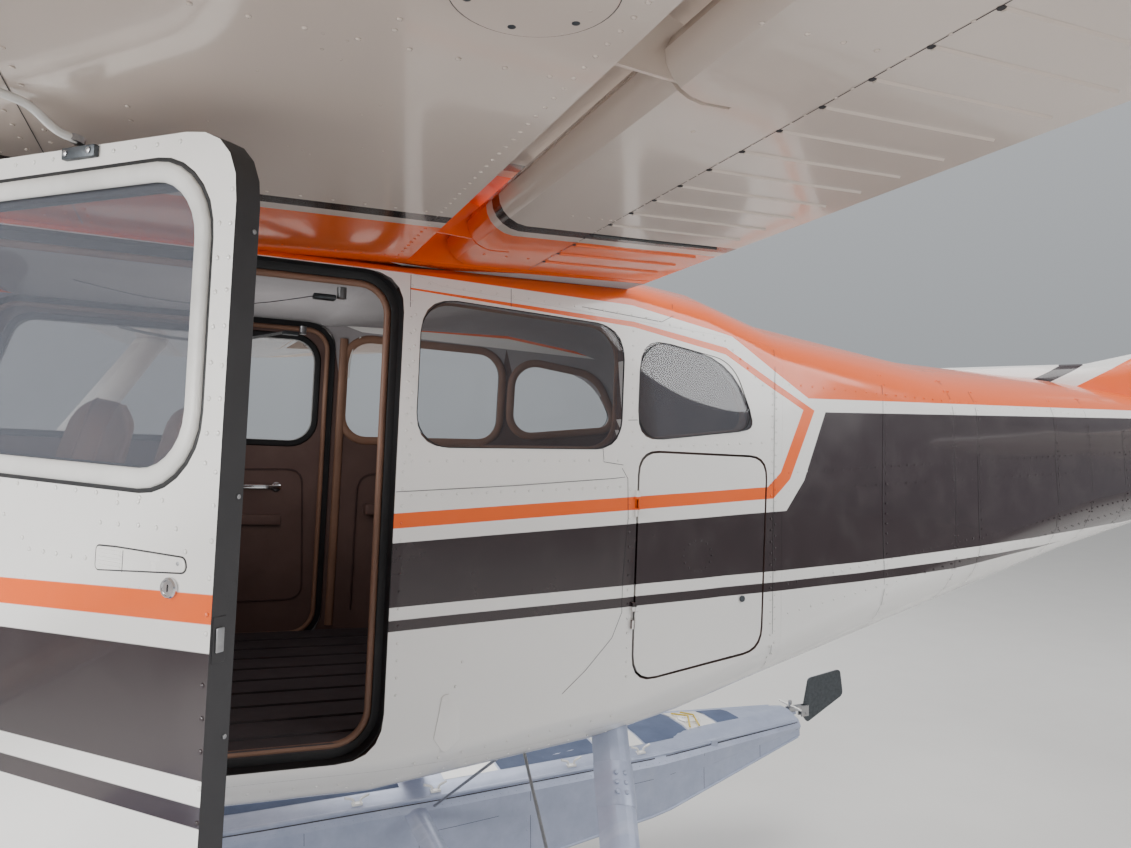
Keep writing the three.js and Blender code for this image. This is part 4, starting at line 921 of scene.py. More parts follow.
def roundProfile(radius, sides=8, out=0.0, up=0.0):
    angles = [2 * math.pi * k / sides for k in range(sides)]
    return [(out + radius * math.cos(angle), up + radius * math.sin(angle)) for angle in angles]


def flatProfile(half, low, high):
    return [(-half, low), (-half, high), (half, high), (half, low)]


def tube(name, points, radius, material, node, toWorld=craftMatrix, sides=10):
    path = [Vector(point) for point in points]
    count = len(path)
    normals = []
    up = Vector((0, 0, 1))
    for index in range(count):
        before, after = path[max(index - 1, 0)], path[min(index + 1, count - 1)]
        along = (after - before).normalized()
        if abs(along.dot(up)) > 0.95:
            up = Vector((0, 1, 0)) if abs(along.y) < 0.9 else Vector((1, 0, 0))
        up = (up - along * up.dot(along)).normalized()
        normals.append(up.copy())
    return sweep(name, path, normals, roundProfile(radius, sides), material, node, False, toWorld)


def rounded(points, radius):
    # Path with its inner corners rounded
    path = [Vector(p) for p in points]
    made = [path[0]]
    for before, here, after in zip(path, path[1:], path[2:]):
        a = here + (before - here).normalized() * min(radius, (before - here).length * 0.45)
        b = here + (after - here).normalized() * min(radius, (after - here).length * 0.45)
        made.extend(a.lerp(here, share).lerp(here.lerp(b, share), share) for share in stepped(0, 1, 5))
    made.append(path[-1])
    return made


def block(name, low, high, material, node, toWorld=craftMatrix, bevel=0.002, segments=2, turn=None):
    work = bmesh.new()
    bmesh.ops.create_cube(work, size=1.0)
    low, high = Vector(low), Vector(high)
    for vertex in work.verts:
        vertex.co = Vector(((low + high)[k] / 2 + vertex.co[k] * (high - low)[k] for k in range(3)))
    bmesh.ops.bevel(work, geom=work.edges[:], offset=bevel, segments=segments, affect="EDGES", profile=0.6)
    place = toWorld @ turn if turn else toWorld
    for vertex in work.verts:
        vertex.co = place @ vertex.co
    mesh = bpy.data.meshes.new(name)
    work.to_mesh(mesh)
    work.free()
    mesh.polygons.foreach_set("use_smooth", [True] * len(mesh.polygons))
    mesh.set_sharp_from_angle(angle=0.7)
    addStations(mesh, toWorld)
    return link(name, mesh, material, node)


def lathe(name, centre, axis, profile, material, node, toWorld=craftMatrix, sides=24):
    # Profile points (radius, height along the axis), from one end to the other
    up = Vector(axis).normalized()
    right, ahead = across(up)
    centre = Vector(centre)
    points = []
    for radius, height in profile:
        for step in range(sides):
            angle = 2 * math.pi * step / sides
            points.append(
                toWorld
                @ (centre + (right * math.cos(angle) + ahead * math.sin(angle)) * radius + up * height)
            )
    faces = hoop(len(profile), sides)
    faces.append(tuple(range(sides)))
    faces.append(tuple((len(profile) - 1) * sides + step for step in reversed(range(sides))))
    mesh = meshFrom(name, points, faces, True, 0.6)
    addStations(mesh, toWorld)
    return link(name, mesh, material, node)


# Outlines in side view (x, z, radius), as on the body
outlines = {
    "door": [
        (0.566, -0.030, 0.070), (0.552, 0.560, 0.060), (0.690, 1.014, 0.090), (1.660, 1.014, 0.085),
        (1.660, -0.030, 0.095),
    ],
    "doorWindow": [
        (0.640, 0.620, 0.060), (0.745, 0.958, 0.070), (1.606, 0.964, 0.075), (1.606, 0.620, 0.075),
    ],
    "midWindow": [(1.706, 0.640, 0.075), (1.706, 0.975, 0.080), (2.238, 0.962, 0.085), (2.238, 0.655, 0.075)],
    "rearWindow": [
        (2.286, 0.676, 0.070), (2.286, 0.945, 0.080), (2.590, 0.905, 0.120), (2.680, 0.725, 0.045),
    ],
}
print("stage: makers")


def ring(name, key, side, profile, material, node, toWorld=craftMatrix):
    # Runs round an opening of the body; the profile's first column points away from its middle
    path = evened(cornerPath(outlines[key]), 0.06)
    points = [Vector((x, side * bodyHalf(x, z), z)) for x, z in path]
    normals = [bodyNormal(point) for point in points]
    turned = [(out * side, up) for out, up in profile]
    return sweep(name, points, normals, turned, material, node, True, toWorld)


def stepsAlong(path):
    # From the place before each place of a path to the one after it
    return [after - before for before, after in zip(path[:1] + path, path[1:] + path[-1:])]


def ribbons(name, rows, node, half):
    # Thin dark strips: each row holds points, their normals and the way along it
    points, faces = [], []
    for row in rows:
        start = len(points)
        for point, normal, along in row:
            out = along.normalized().cross(normal).normalized()
            points.extend(craftMatrix @ (point + out * way * half) for way in (-1, 1))
        for a in range(start, len(points) - 2, 2):
            faces.append((a, a + 1, a + 3, a + 2))
    mesh = meshFrom(name, points, faces)
    addStations(mesh, craftMatrix)
    return link(name, mesh, "seam", node)


def seams(name, rows, node, half=0.0007, side=-1):
    # Joints between skins: each row is a path of stations (x, z) on the body
    made = []
    for row in rows:
        path = evened([Vector(place) for place in row], 0.05, False)
        ways = [Vector((step.x, 0, step.y)) for step in stepsAlong(path)]
        made.append([(*onBody(*place, side, 0.00015), way) for place, way in zip(path, ways)])
    return ribbons(name, made, node, half)


def bodyRivets(name, rows, node, side=-1):
    # Rows of heads: each is a pitch and a path of stations (x, z)
    spots = [spot for pitch, path in rows for spot in bodyRow(path, pitch, side)]
    return rivets(name, spots, "body", node)


# Doorways: black liner and bulb, and a brown bead at the lining
doorway = {
    "liner": [
        (0.0056, -0.001), (0.0046, -0.001), (0.0046, -0.0382), (-0.009, -0.0384), (-0.012, -0.0402),
        (-0.012, -0.046), (0.0056, -0.046),
    ],
    "bulb": {"radius": 0.0038, "out": -0.0035, "up": -0.0424},
    "bead": {"radius": 0.0078, "out": -0.0195, "up": -0.0465},
}
for side, name in bothSides:
    node = f"cabin_side_{name}"
    bulb, bead = doorway["bulb"], doorway["bead"]
    ring(f"doorwayLiner.{name}", "door", side, doorway["liner"], "rubber", node)
    ring(
        f"doorwayBulb.{name}", "door", side, roundProfile(bulb["radius"], 8, bulb["out"], bulb["up"]),
        "rubber", node,
    )
    ring(
        f"doorwayBead.{name}", "door", side, roundProfile(bead["radius"], 12, bead["out"], bead["up"]),
        "beadBrownPaintedHighlight", node,
    )

# Doors: window frame and its groove, inner seal round the window, handle, lock and rivets
doorParts = {
    "frame": [
        (-0.0045, 0.0004), (-0.0045, 0.0022), (-0.002, 0.0046), (0.004, 0.0066), (0.012, 0.0066),
        (0.0175, 0.0048), (0.0195, 0.0022), (0.0195, 0.0002),
    ],
    "groove": [(0.0195, 0.0001), (0.0195, 0.0008), (0.0245, 0.0006), (0.0250, 0.0001)],
    "innerSeal": [(-0.004, -0.0355), (-0.004, -0.039), (0.002, -0.042), (0.012, -0.042), (0.016, -0.0355)],
    "edgeBead": {"radius": 0.0032, "out": -0.006, "up": -0.0362},
    "columns": {
        1.6535: (
            0.942, 0.904, 0.866, 0.830, 0.790, 0.746, 0.709, 0.671, 0.628, 0.591, 0.552, 0.511, 0.471, 0.450,
        ),
        1.6365: (0.905, 0.866, 0.828, 0.789, 0.749, 0.709, 0.670, 0.637),
    },
    "rearLow": [
        (1.653, 0.393), (1.655, 0.357), (1.656, 0.321), (1.657, 0.281), (1.657, 0.243), (1.657, 0.200),
        (1.657, 0.158),
    ],
    "single": [
        (1.468, 0.555), (1.500, 0.556), (1.535, 0.558), (1.565, 0.558), (1.597, 0.560), (1.322, 0.522),
        (1.337, 0.509), (1.365, 0.509), (1.390, 0.509), (1.418, 0.509), (1.445, 0.510), (1.281, 0.548),
        (1.496, 0.581), (1.532, 0.585), (1.614, 0.536),
    ],
    "tight": [(1.496, 0.483), (1.522, 0.484), (1.543, 0.486), (1.331, 0.474)],
    "rows": [
        (0.038, [(0.80, 1.002), (1.566, 1.004)]), (0.038, [(0.62, 0.590), (1.572, 0.590)]),
        (0.040, [(0.583, 0.545), (0.588, 0.06)]), (0.044, [(0.66, 0.012), (1.56, 0.012)]),
    ],
}
for side, name, place in bothDoors:
    node = f"door_{name}"
    bead = doorParts["edgeBead"]
    ring(f"doorWindowFrame.{name}", "doorWindow", side, doorParts["frame"], "frameWhite", node, place)
    ring(f"doorWindowGroove.{name}", "doorWindow", side, doorParts["groove"], "rubber", node, place)
    ring(f"doorInnerSeal.{name}", "doorWindow", side, doorParts["innerSeal"], "rubber", node, place)
    columns = [(x, z) for x, heights in doorParts["columns"].items() for z in heights]
    spots = [onBody(x, z, side, 0.0001) for x, z in columns + doorParts["rearLow"] + doorParts["single"]]
    for pitch, path in doorParts["rows"]:
        spots += bodyRow(path, pitch, side)
    rivets(f"doorRivets.{name}", spots, "body", node, toWorld=place)
    pins = [onBody(x, z, side, 0.0001) for x, z in doorParts["tight"]]
    rivets(f"doorPins.{name}", pins, "body", node, "pin", place)

handle = {
    "outline": [
        (1.465, 0.499, 0.005), (1.465, 0.527, 0.005), (1.500, 0.5285, 0.02), (1.613, 0.5285, 0.007),
        (1.619, 0.513, 0.007),
    ],
    "ribs": 5, "ribFrom": 1.470, "ribLow": 0.5045, "ribPitch": 0.0046, "ribHeight": 0.0018, "rise": 0.0012,
    "step": 1.5125, "stepHeights": (0.501, 0.5265), "screw": (1.6045, 0.5215), "lock": (1.594, 0.493),
    "lockRadius": 0.012,
}


def plate(name, corners, side, low, high, material, node, toWorld, slope=0.0008):
    # Flat raised plate on the body, with a sloped rim
    path = cornerPath(corners, 5)
    middle = sum(path, Vector((0, 0))) / len(path)
    points = []
    for off, shrink in ((low, 0.0), (high - slope * 0.5, 0.0), (high, slope)):
        for place in path:
            x, z = place + (middle - place).normalized() * shrink
            points.append(toWorld @ onBody(x, z, side, off)[0])
    count = len(path)
    faces = hoop(3, count)
    faces.append(tuple(range(2 * count, 3 * count)))
    mesh = meshFrom(name, points, faces, True, 0.5)
    addStations(mesh, toWorld)
    return link(name, mesh, material, node)


for side, name, place in bothDoors:
    node = f"door_{name}"
    outline = handle["outline"]
    middleX, middleZ = sum(p[0] for p in outline) / 5, sum(p[1] for p in outline) / 5
    gapX, gapZ = 0.0022, 0.0018
    wider = [
        (x + (gapX if x > middleX else -gapX), z + (gapZ if z > middleZ else -gapZ), radius + 0.002)
        for x, z, radius in outline
    ]
    plate(f"handleGap.{name}", wider, side, -0.0005, 0.0002, "seam", node, place, 0.0002)
    plate(f"handle.{name}", outline, side, -0.0005, handle["rise"], "white", node, place)
    edge = handle["step"] - 0.003
    for index in range(handle["ribs"]):
        low = handle["ribLow"] + index * handle["ribPitch"]
        high = low + handle["ribHeight"]
        start = handle["ribFrom"]
        rib = [(x, z, 0.0008) for x, z in ((start, low), (start, high), (edge, high), (edge, low))]
        rise = handle["rise"]
        plate(
            f"handleRib{index}.{name}", rib, side, rise - 0.0002, rise + 0.0007, "white", node, place, 0.0004,
        )
    low, high = handle["stepHeights"]
    fromX, toX = handle["step"], handle["step"] + 0.0009
    edge = [(x, z, 0.0003) for x, z in ((fromX, low), (fromX, high), (toX, high), (toX, low))]
    plate(
        f"handleStep.{name}", edge, side, handle["rise"], handle["rise"] + 0.0002, "seam", node, place,
        0.0001,
    )
    screw = onBody(*handle["screw"], side, handle["rise"])
    lathe(
        f"handleScrew.{name}", screw[0], screw[1],
        [(0.0001, 0), (0.0024, 0.0), (0.0024, 0.0004), (0.0001, 0.0007)], "steel", node, place, 12,
    )
    centre, normal = onBody(*handle["lock"], side, 0.0)
    r = handle["lockRadius"]
    lathe(
        f"lock.{name}", centre, normal,
        [
            (r, -0.001), (r, 0.0035), (r - 0.0015, 0.0055), (r - 0.003, 0.0055), (r - 0.0036, 0.0045),
            (0.0001, 0.0045),
        ],
        "chrome", node, place, 32,
    )
    turned = Matrix.Translation(onBody(*handle["lock"], side, 0.0046)[0])
    low, high = (-0.0009, -0.0004, -0.0042), (0.0009, 0.0004, 0.0042)
    block(f"lockSlot.{name}", low, high, "seam", node, place, 0.0003, 1, turned)

# Latch bolt on the edge of each door and small screws along it
latch = {
    "x": 1.6605, "z": 0.442, "deep": 0.012, "half": (0.0055, 0.014),
    "screws": (0.985, 0.90, 0.60, 0.33, 0.18), "plate": (0.009, 0.026), "proud": 0.0028,
}
for side, name, place in bothDoors:
    node = f"door_{name}"
    skin = bodyHalf(latch["x"], latch["z"])
    y = side * (skin - latch["deep"])
    wide, tall = latch["half"]
    x, z, (plateWide, plateTall) = latch["x"], latch["z"], latch["plate"]
    low, high = (x - 0.001, y - plateWide, z - plateTall), (x + 0.0006, y + plateWide, z + plateTall)
    block(f"latchPlate.{name}", low, high, "edgeTrim", node, place, 0.0005, 1)
    low, high = (x, y - wide, z - tall), (x + latch["proud"], y + wide, z + tall)
    block(f"latchBolt.{name}", low, high, "steel", node, place, 0.0016, 2)
    for index, z in enumerate(latch["screws"]):
        half = bodyHalf(1.65, z) - 0.028
        x = latch["x"] if z < 0.95 else 1.638
        lathe(
            f"edgeScrew{index}.{name}", (x, side * half, z), (1, 0, 0),
            [(0.0001, -0.001), (0.003, -0.001), (0.0028, 0.0008), (0.0001, 0.0012)], "steel", node, place, 10,
        )
print("stage: doors")

# Windows: thin black joint round each pane and a brown moulding inside
paneJoint = [(-0.0009, 0.0003), (0.0010, 0.0003), (0.0010, -0.004), (-0.0009, -0.004)]
paneMoulding = [
    (-0.006, -0.0335), (-0.006, -0.038), (0.001, -0.0415), (0.016, -0.0415), (0.021, -0.036),
    (0.021, -0.0345),
]
for side, name in bothSides:
    for key, pane in (("midWindow", "mid"), ("rearWindow", "rear")):
        ring(f"paneJoint.{pane}.{name}", key, side, paneJoint, "rubber", f"cabin_side_{name}")
        ring(f"paneMoulding.{pane}.{name}", key, side, paneMoulding, "beadBrownPaintedHighlight", f"cabin_side_{name}")

# Rivets and skin joints of the body, the same on both sides: pitch and stations (x, z)
sideRivets = [
    (0.034, [(1.681, 0.995), (1.684, 0.605)]),
    (0.034, [(1.692, 0.932), (1.694, 0.622)]),
    (0.038, [(1.681, 0.585), (1.690, 0.10)]),
    (0.040, [(1.700, 0.609), (2.230, 0.627)]),
    (0.036, [(1.702, 0.533), (2.240, 0.561)]),
    (0.036, [(2.262, 0.955), (2.271, 0.665)]),
    (0.036, [(2.270, 0.555), (2.277, 0.090)]),
    (0.060, [(1.84, 0.16), (1.80, 0.00)]),
    (0.055, [(1.60, -0.10), (2.25, -0.060)]),
    (0.055, [(1.74, -0.055), (2.24, -0.005)]),
    (0.040, [(1.720, 1.004), (2.255, 0.996)]),
    (0.038, [(2.300, 0.994), (2.560, 0.960), (2.700, 0.850)]),
    (0.040, [(2.305, 0.664), (2.700, 0.690)]),
    (0.032, [(2.737, 0.83), (2.737, 0.10)]),
    (0.032, [(2.752, 0.82), (2.752, 0.11)]),
    (0.045, [(2.80, 0.56), (5.20, 0.70)]),
    (0.045, [(2.80, 0.22), (5.20, 0.60)]),
    (0.045, [(2.80, 0.86), (5.20, 0.86)]),
    (0.036, [(3.520, 0.93), (3.520, 0.17)]),
    (0.036, [(3.538, 0.93), (3.538, 0.17)]),
    (0.036, [(4.308, 0.92), (4.308, 0.36)]),
    (0.036, [(4.326, 0.92), (4.326, 0.36)]),
    (0.036, [(5.280, 0.92), (5.280, 0.56)]),
    (0.040, [(0.06, 0.46), (0.06, -0.06)]),
    (0.040, [(0.45, 0.46), (0.45, -0.10)]),
    (0.042, [(0.08, 0.30), (0.45, 0.31)]),
    (0.042, [(0.08, 0.05), (0.45, 0.04)]),
    (0.045, [(0.62, -0.085), (1.58, -0.085)]),
]
sideSeams = [
    [(1.677, 1.019), (1.679, 0.947)], [(1.919, 1.018), (1.921, 0.976)],
    [(1.668, 0.541), (1.944, 0.559), (2.222, 0.582), (2.253, 0.586)],
    [
        (2.243, 0.608), (2.261, 0.582), (2.266, 0.483), (2.261, 0.404), (2.256, 0.319), (2.257, 0.250),
        (2.231, 0.188), (2.159, 0.114), (2.098, 0.064),
    ],
    [(2.386, 1.041), (2.384, 1.008), (2.348, 0.988), (2.110, 0.999)],
    [(2.185, 0.656), (2.190, 0.622), (2.246, 0.616)], [(2.256, 0.729), (2.284, 0.731)],
    [(2.7445, 1.00), (2.7445, 0.02)], [(3.529, 0.97), (3.529, 0.15)], [(4.317, 0.96), (4.317, 0.34)],
    [(5.289, 0.93), (5.289, 0.55)], [(0.050, 0.52), (0.050, -0.12)], [(0.462, 0.60), (0.462, -0.15)],
]
baggageCircle = {"centre": (2.487, 0.384), "radius": (0.046, 0.040), "count": 14, "lock": (2.638, 0.266)}
for side, name in bothSides:
    bodyRivets(f"bodyRivets.{name}", sideRivets, f"cabin_side_{name}", side)
    seams(f"bodySeams.{name}", sideSeams, f"cabin_side_{name}", 0.0007, side)
spots = []
for index in range(baggageCircle["count"]):
    angle = 2 * math.pi * index / baggageCircle["count"]
    (x, z), (wide, tall) = baggageCircle["centre"], baggageCircle["radius"]
    spots.append(onBody(x + wide * math.cos(angle), z + tall * math.sin(angle), -1, 0.0001))
rivets("baggageDoorRivets", spots, "body", "baggage_door", "baggage")
centre, normal = onBody(*baggageCircle["lock"], -1, 0.0)
lathe(
    "baggageLock", centre, normal,
    [(0.0085, -0.001), (0.0085, 0.0016), (0.0065, 0.0026), (0.0062, 0.0018), (0.0001, 0.0018)], "darkMetal",
    "baggage_door", craftMatrix, 24,
)
print("stage: body rivets and seams")

# Seats: padded leather cushions and backs on a frame of tubes
seats = {
    # cushion: from, to, low and high; back: foot (x, z), top (x, z), thickness;
    # its shape: corner radius, how much narrower the top is, where the seams run;
    # legs: places of foot, bends and rear foot, level of the rail, distance from the middle
    "front": {
        "width": 0.446, "cushion": (0.732, 1.120, 0.248, 0.352), "back": (1.106, 0.295, 1.209, 0.722, 0.078),
        "backShape": (0.115, 0.02, (-0.11, 0.11)), "y": 0.285,
        "legs": ((0.760, 0.775, 1.085, 1.100, 0.248), 0.19),
    },
    "rear": {
        "width": 0.826, "cushion": (1.902, 2.262, 0.204, 0.308), "back": (2.262, 0.245, 2.322, 0.612, 0.062),
        "backShape": (0.06, 0, (-0.21, 0.0, 0.21)), "y": 0.0,
        "legs": ((1.945, 1.945, 2.250, 2.250, 0.200), 0.38),
    },
}
padding = {"voxel": 0.010, "pressure": 4.0, "frames": 20, "cap": 0.015, "rim": 0.030}


def padShape(name, corners, thickness, place, rim):
    # Extruded outline with rounded rims: outline in the first two axes, thickness in the third
    path = cornerPath(corners, 6)
    work = bmesh.new()
    verts = [work.verts.new((p.x, p.y, -thickness / 2)) for p in path]
    face = work.faces.new(verts)
    made = bmesh.ops.extrude_face_region(work, geom=[face])
    for item in made["geom"]:
        if isinstance(item, bmesh.types.BMVert):
            item.co.z = thickness / 2
    rims = [e for e in work.edges if abs(e.verts[0].co.z - e.verts[1].co.z) < 1e-6]
    bmesh.ops.bevel(work, geom=rims, offset=rim, segments=4, affect="EDGES", profile=0.5)
    bmesh.ops.recalc_face_normals(work, faces=work.faces)
    for vertex in work.verts:
        vertex.co = place @ vertex.co
    mesh = bpy.data.meshes.new(name)
    work.to_mesh(mesh)
    work.free()
    return mesh


def evaluated(piece):
    graph = bpy.context.evaluated_depsgraph_get()
    return bpy.data.meshes.new_from_object(
        piece.evaluated_get(graph), preserve_all_data_layers=False, depsgraph=graph,
    )


def puffed(name, mesh):
    # Even mesh, swollen by pressure; each point moves no further than the cap
    scene = bpy.context.scene
    piece = bpy.data.objects.new(name + ".start", mesh)
    scene.collection.objects.link(piece)
    remesh = piece.modifiers.new("even", "REMESH")
    remesh.mode = "VOXEL"
    remesh.voxel_size = padding["voxel"]
    even = evaluated(piece)
    piece.modifiers.clear()
    piece.data = even
    before = [v.co.copy() for v in even.vertices]
    clothing = piece.modifiers.new("pressure", "CLOTH")
    clothing.settings.use_pressure = True
    clothing.settings.uniform_pressure_force = padding["pressure"]
    clothing.settings.effector_weights.gravity = 0
    clothing.settings.quality = 5
    clothing.point_cache.frame_start = 1
    clothing.point_cache.frame_end = padding["frames"]
    for number in range(1, padding["frames"] + 1):
        scene.frame_set(number)
    swollen = evaluated(piece)
    for index, vertex in enumerate(swollen.vertices):
        move = vertex.co - before[index]
        if move.length > padding["cap"]:
            vertex.co = before[index] + move.normalized() * padding["cap"]
    piece.modifiers.clear()
    piece.data = swollen
    scene.frame_set(1)
    soften = piece.modifiers.new("soften", "SMOOTH")
    soften.factor = 0.6
    soften.iterations = 4
    finer = piece.modifiers.new("finer", "SUBSURF")
    finer.levels = finer.render_levels = 1
    final = evaluated(piece)
    bpy.data.objects.remove(piece)
    final.name = name
    final.polygons.foreach_set("use_smooth", [True] * len(final.polygons))
    return final


def piping(name, mesh, path, radius, node, base, closed=True):
    # Cord sewn along a path, laid on the surface of a pad; the path is in stations
    tree = BVHTree.FromPolygons([v.co for v in mesh.vertices], [tuple(p.vertices) for p in mesh.polygons])
    pairs = [tree.find_nearest(base @ point)[:2] for point in path]
    return sweep(name, *zip(*pairs), roundProfile(radius, 8), "leather", node, closed, Matrix.Identity(4))


def seatPads(node, kind, y, base=craftMatrix):
    row = seats[kind]
    half = row["width"] / 2
    fromX, toX, low, high = row["cushion"]
    corners = [
        (fromX, y - half, 0.055), (fromX, y + half, 0.055), (toX, y + half, 0.03), (toX, y - half, 0.03),
    ]
    flatPlace = base @ Matrix.Translation((0, 0, (low + high) / 2))
    cushion = puffed(
        f"{node}.cushion", padShape(f"{node}.cushion", corners, high - low, flatPlace, padding["rim"]),
    )
    piece = link(f"{node}.cushion", cushion, "leather", node)
    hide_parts(node)
    wider = [(a - (0.004 if a < 1 else -0.004), b, r) for a, b, r in corners]
    path = [Vector((p.x, p.y, high - 0.012)) for p in evened(cornerPath(wider, 6), 0.04)]
    piping(f"{node}.cushionPiping", cushion, path, 0.0035, node, base)
    backX, backLow, topX, backHigh, thick = row["back"]
    along = Vector((topX - backX, 0, backHigh - backLow))
    length = along.length
    up = along.normalized()
    out = Vector((up.z, 0, -up.x))
    sideways = Vector((0, 1, 0))
    frameMatrix = Matrix((
        (sideways.x, up.x, out.x, backX + thick / 2), (sideways.y, up.y, out.y, y),
        (sideways.z, up.z, out.z, backLow), (0, 0, 0, 1),
    ))
    radius, narrower, channels = row["backShape"]
    outline = [
        (-half, 0.0, 0.03), (-half + narrower, length, radius), (half - narrower, length, radius),
        (half, 0.0, 0.03),
    ]
    shape = padShape(f"{node}.back", outline, thick, base @ frameMatrix, min(padding["rim"], thick * 0.4))
    back = puffed(f"{node}.back", shape)
    piece = link(f"{node}.back", back, "leather", node)
    rim = evened(cornerPath([(a * 0.985, b if b < 0.1 else b - 0.004, r) for a, b, r in outline], 6), 0.03)
    for face in (-1, 1):
        path = [frameMatrix @ Vector((p.x, p.y, face * thick * 0.36)) for p in rim]
        piping(f"{node}.backPiping{face}", back, path, 0.0033, node, base)
    for index, shift in enumerate(channels):
        path = [frameMatrix @ Vector((shift, reach, -thick)) for reach in stepped(0.05, length - 0.06, 16)]
        piping(f"{node}.backSeam{index}", back, path, 0.0016, node, base, False)
        path = [Vector((x, y + shift, high + 0.05)) for x in stepped(fromX + 0.03, toX - 0.04, 16)]
        piping(f"{node}.cushionSeam{index}", cushion, path, 0.0016, node, base, False)


def seatFrame(node, kind, y, base=craftMatrix):
    row = seats[kind]
    fromX, toX, low = row["cushion"][:3]
    half = row["width"] / 2 - 0.02
    pan = (fromX + 0.02, y - half, low - 0.010), (toX - 0.01, y + half, low + 0.012)
    block(f"{node}.pan", *pan, "trimDark", node, base, 0.006)
    (foot, top, rear, rearFoot, level), out = row["legs"]
    for way in (-1, 1):
        side = y + way * out
        path = [(foot, side, 0.004), (top, side, level), (rear, side, level), (rearFoot, side, 0.004)]
        tube(f"{node}.leg{way}", rounded(path, 0.04), 0.0095, "darkMetal", node, base)
    if kind == "front":
        for way in (-1, 1):
            side = y + way * 0.205
            path = rounded([(1.09, side, low + 0.01), (1.135, side, low + 0.05), (1.18, side, 0.46)], 0.03)
            tube(f"{node}.recline{way}", path, 0.008, "darkMetal", node, base)


frontSlide = {-1: -0.160, 1: 0.0}  # the left seat stands further ahead
for side, name in bothSides:
    base = craftMatrix @ Matrix.Translation((frontSlide[side], 0, 0))
    seatPads(f"seat_front_{name}", "front", side * seats["front"]["y"], base)
    seatFrame(f"seat_front_{name}", "front", side * seats["front"]["y"], base)
seatPads("seat_rear", "rear", 0.0)
seatFrame("seat_rear", "rear", 0.0)
print("stage: seats")


# Belts: flat webbing with its path in stations and the way it faces
belts = {
    "from": (1.02, 0.46, 0.945), "to": (1.50, 0.43, 0.972), "sag": 0.035, "width": 0.040, "lapWidth": 0.046,
    "buckle": ((1.485, 0.962), (1.535, 0.974), 0.016), "ring": 1.548,
    "lap": ((1.10, 0.19, 0.30), (1.05, 0.15, 0.383), (0.97, 0.02, 0.392)),
}


def webbing(name, path, facing, width, node):
    normals = [Vector(facing).normalized()] * len(path)
    return sweep(name, path, normals, flatProfile(width / 2, -0.0007, 0.0007), "belt", node, False)


def sagging(start, end, drop):
    a, b = Vector(start), Vector(end)
    return [
        a.lerp(b, share) - Vector((0, 0, drop * math.sin(math.pi * share))) for share in stepped(0, 1, 14)
    ]


def sided(place, side):
    # The same place on the side that is asked for
    return place[0], side * place[1], place[2]


# Stowed shoulder belts hang along the headliner, with a buckle at the rear end; lap belts lie on seats
for side, name in bothSides:
    (fromX, low), (toX, high), half = belts["buckle"]
    y = side * belts["to"][1]
    hanging = sagging(sided(belts["from"], side), sided(belts["to"], side), belts["sag"])
    webbing(f"shoulderBelt.{name}", hanging, (0, side * 0.12, 1), belts["width"], "cabin_roof")
    block(
        f"shoulderBuckle.{name}", (fromX, y - half, low), (toX, y + half, high), "darkMetal", "cabin_roof",
        bevel=0.004,
    )
    profile = [(0.004, -0.004), (0.011, -0.004), (0.011, 0.022), (0.004, 0.022)]
    lathe(
        f"shoulderRing.{name}", (belts["ring"], y, belts["to"][2]), (0, 0, 1), profile, "steel", "cabin_roof",
        sides=14,
    )
    slide = frontSlide[side]
    lap = rounded(
        [(x + slide, side * seats["front"]["y"] - inward, z) for x, inward, z in belts["lap"]], 0.04,
    )
    webbing(f"lapBelt.{name}", lap, (0.2, 0, 1), belts["lapWidth"], "cabin_floor")

# Lining of the sides: pillar covers behind the doors, welts of the panels, arm rests, a cord at the headliner
sideLining = {
    "inset": 0.0365, "pillar": (1.692, 0.01, 0.975), "rest": (1.78, 0.385, 2.20, 0.425, 0.05),
    "cover": [
        (-0.013, -0.003), (-0.013, 0.004), (-0.008, 0.009), (0.008, 0.009), (0.013, 0.004), (0.013, -0.003),
    ],
    "welt": [(1.76, 0, 0.06), (1.76, 0, 0.52), (2.24, 0, 0.54), (2.24, 0, 0.10)],
    "cord": ((1.712, 0.845), (1.713, 0.90), (1.722, 0.95), (1.745, 0.985)),
}


def inside(x, z, side, off):
    return Vector((x, side * (bodyHalf(x, z) - off), z))


for side, name in bothSides:
    node = f"cabin_side_{name}"
    inset = sideLining["inset"]
    x, low, high = sideLining["pillar"]
    points = [inside(x, z, side, inset) for z in stepped(low, high, 19)]
    normals = [Vector((0, -side, 0))] * len(points)
    sweep(f"pillarCover.{name}", points, normals, sideLining["cover"], "beadBrownPaintedHighlight", node, False)
    fromX, low, toX, high, deep = sideLining["rest"]
    y = side * (bodyHalf(1.95, 0.35) - inset)
    near, far = sorted((y, y - side * deep))
    block(f"armRest.{name}", (fromX, near, low), (toX, far, high), "trim", node, bevel=0.012, segments=3)
    path = [inside(p.x, p.z, side, inset + 0.001) for p in rounded(sideLining["welt"], 0.06)]
    tube(f"panelWelt.{name}", path, 0.0032, "trimDark", node, sides=6)
    cord = [inside(x, z, side, inset + 0.002) for x, z in sideLining["cord"]]
    tube(f"headlinerCord.{name}", cord, 0.0028, "frameWhite", node, sides=6)

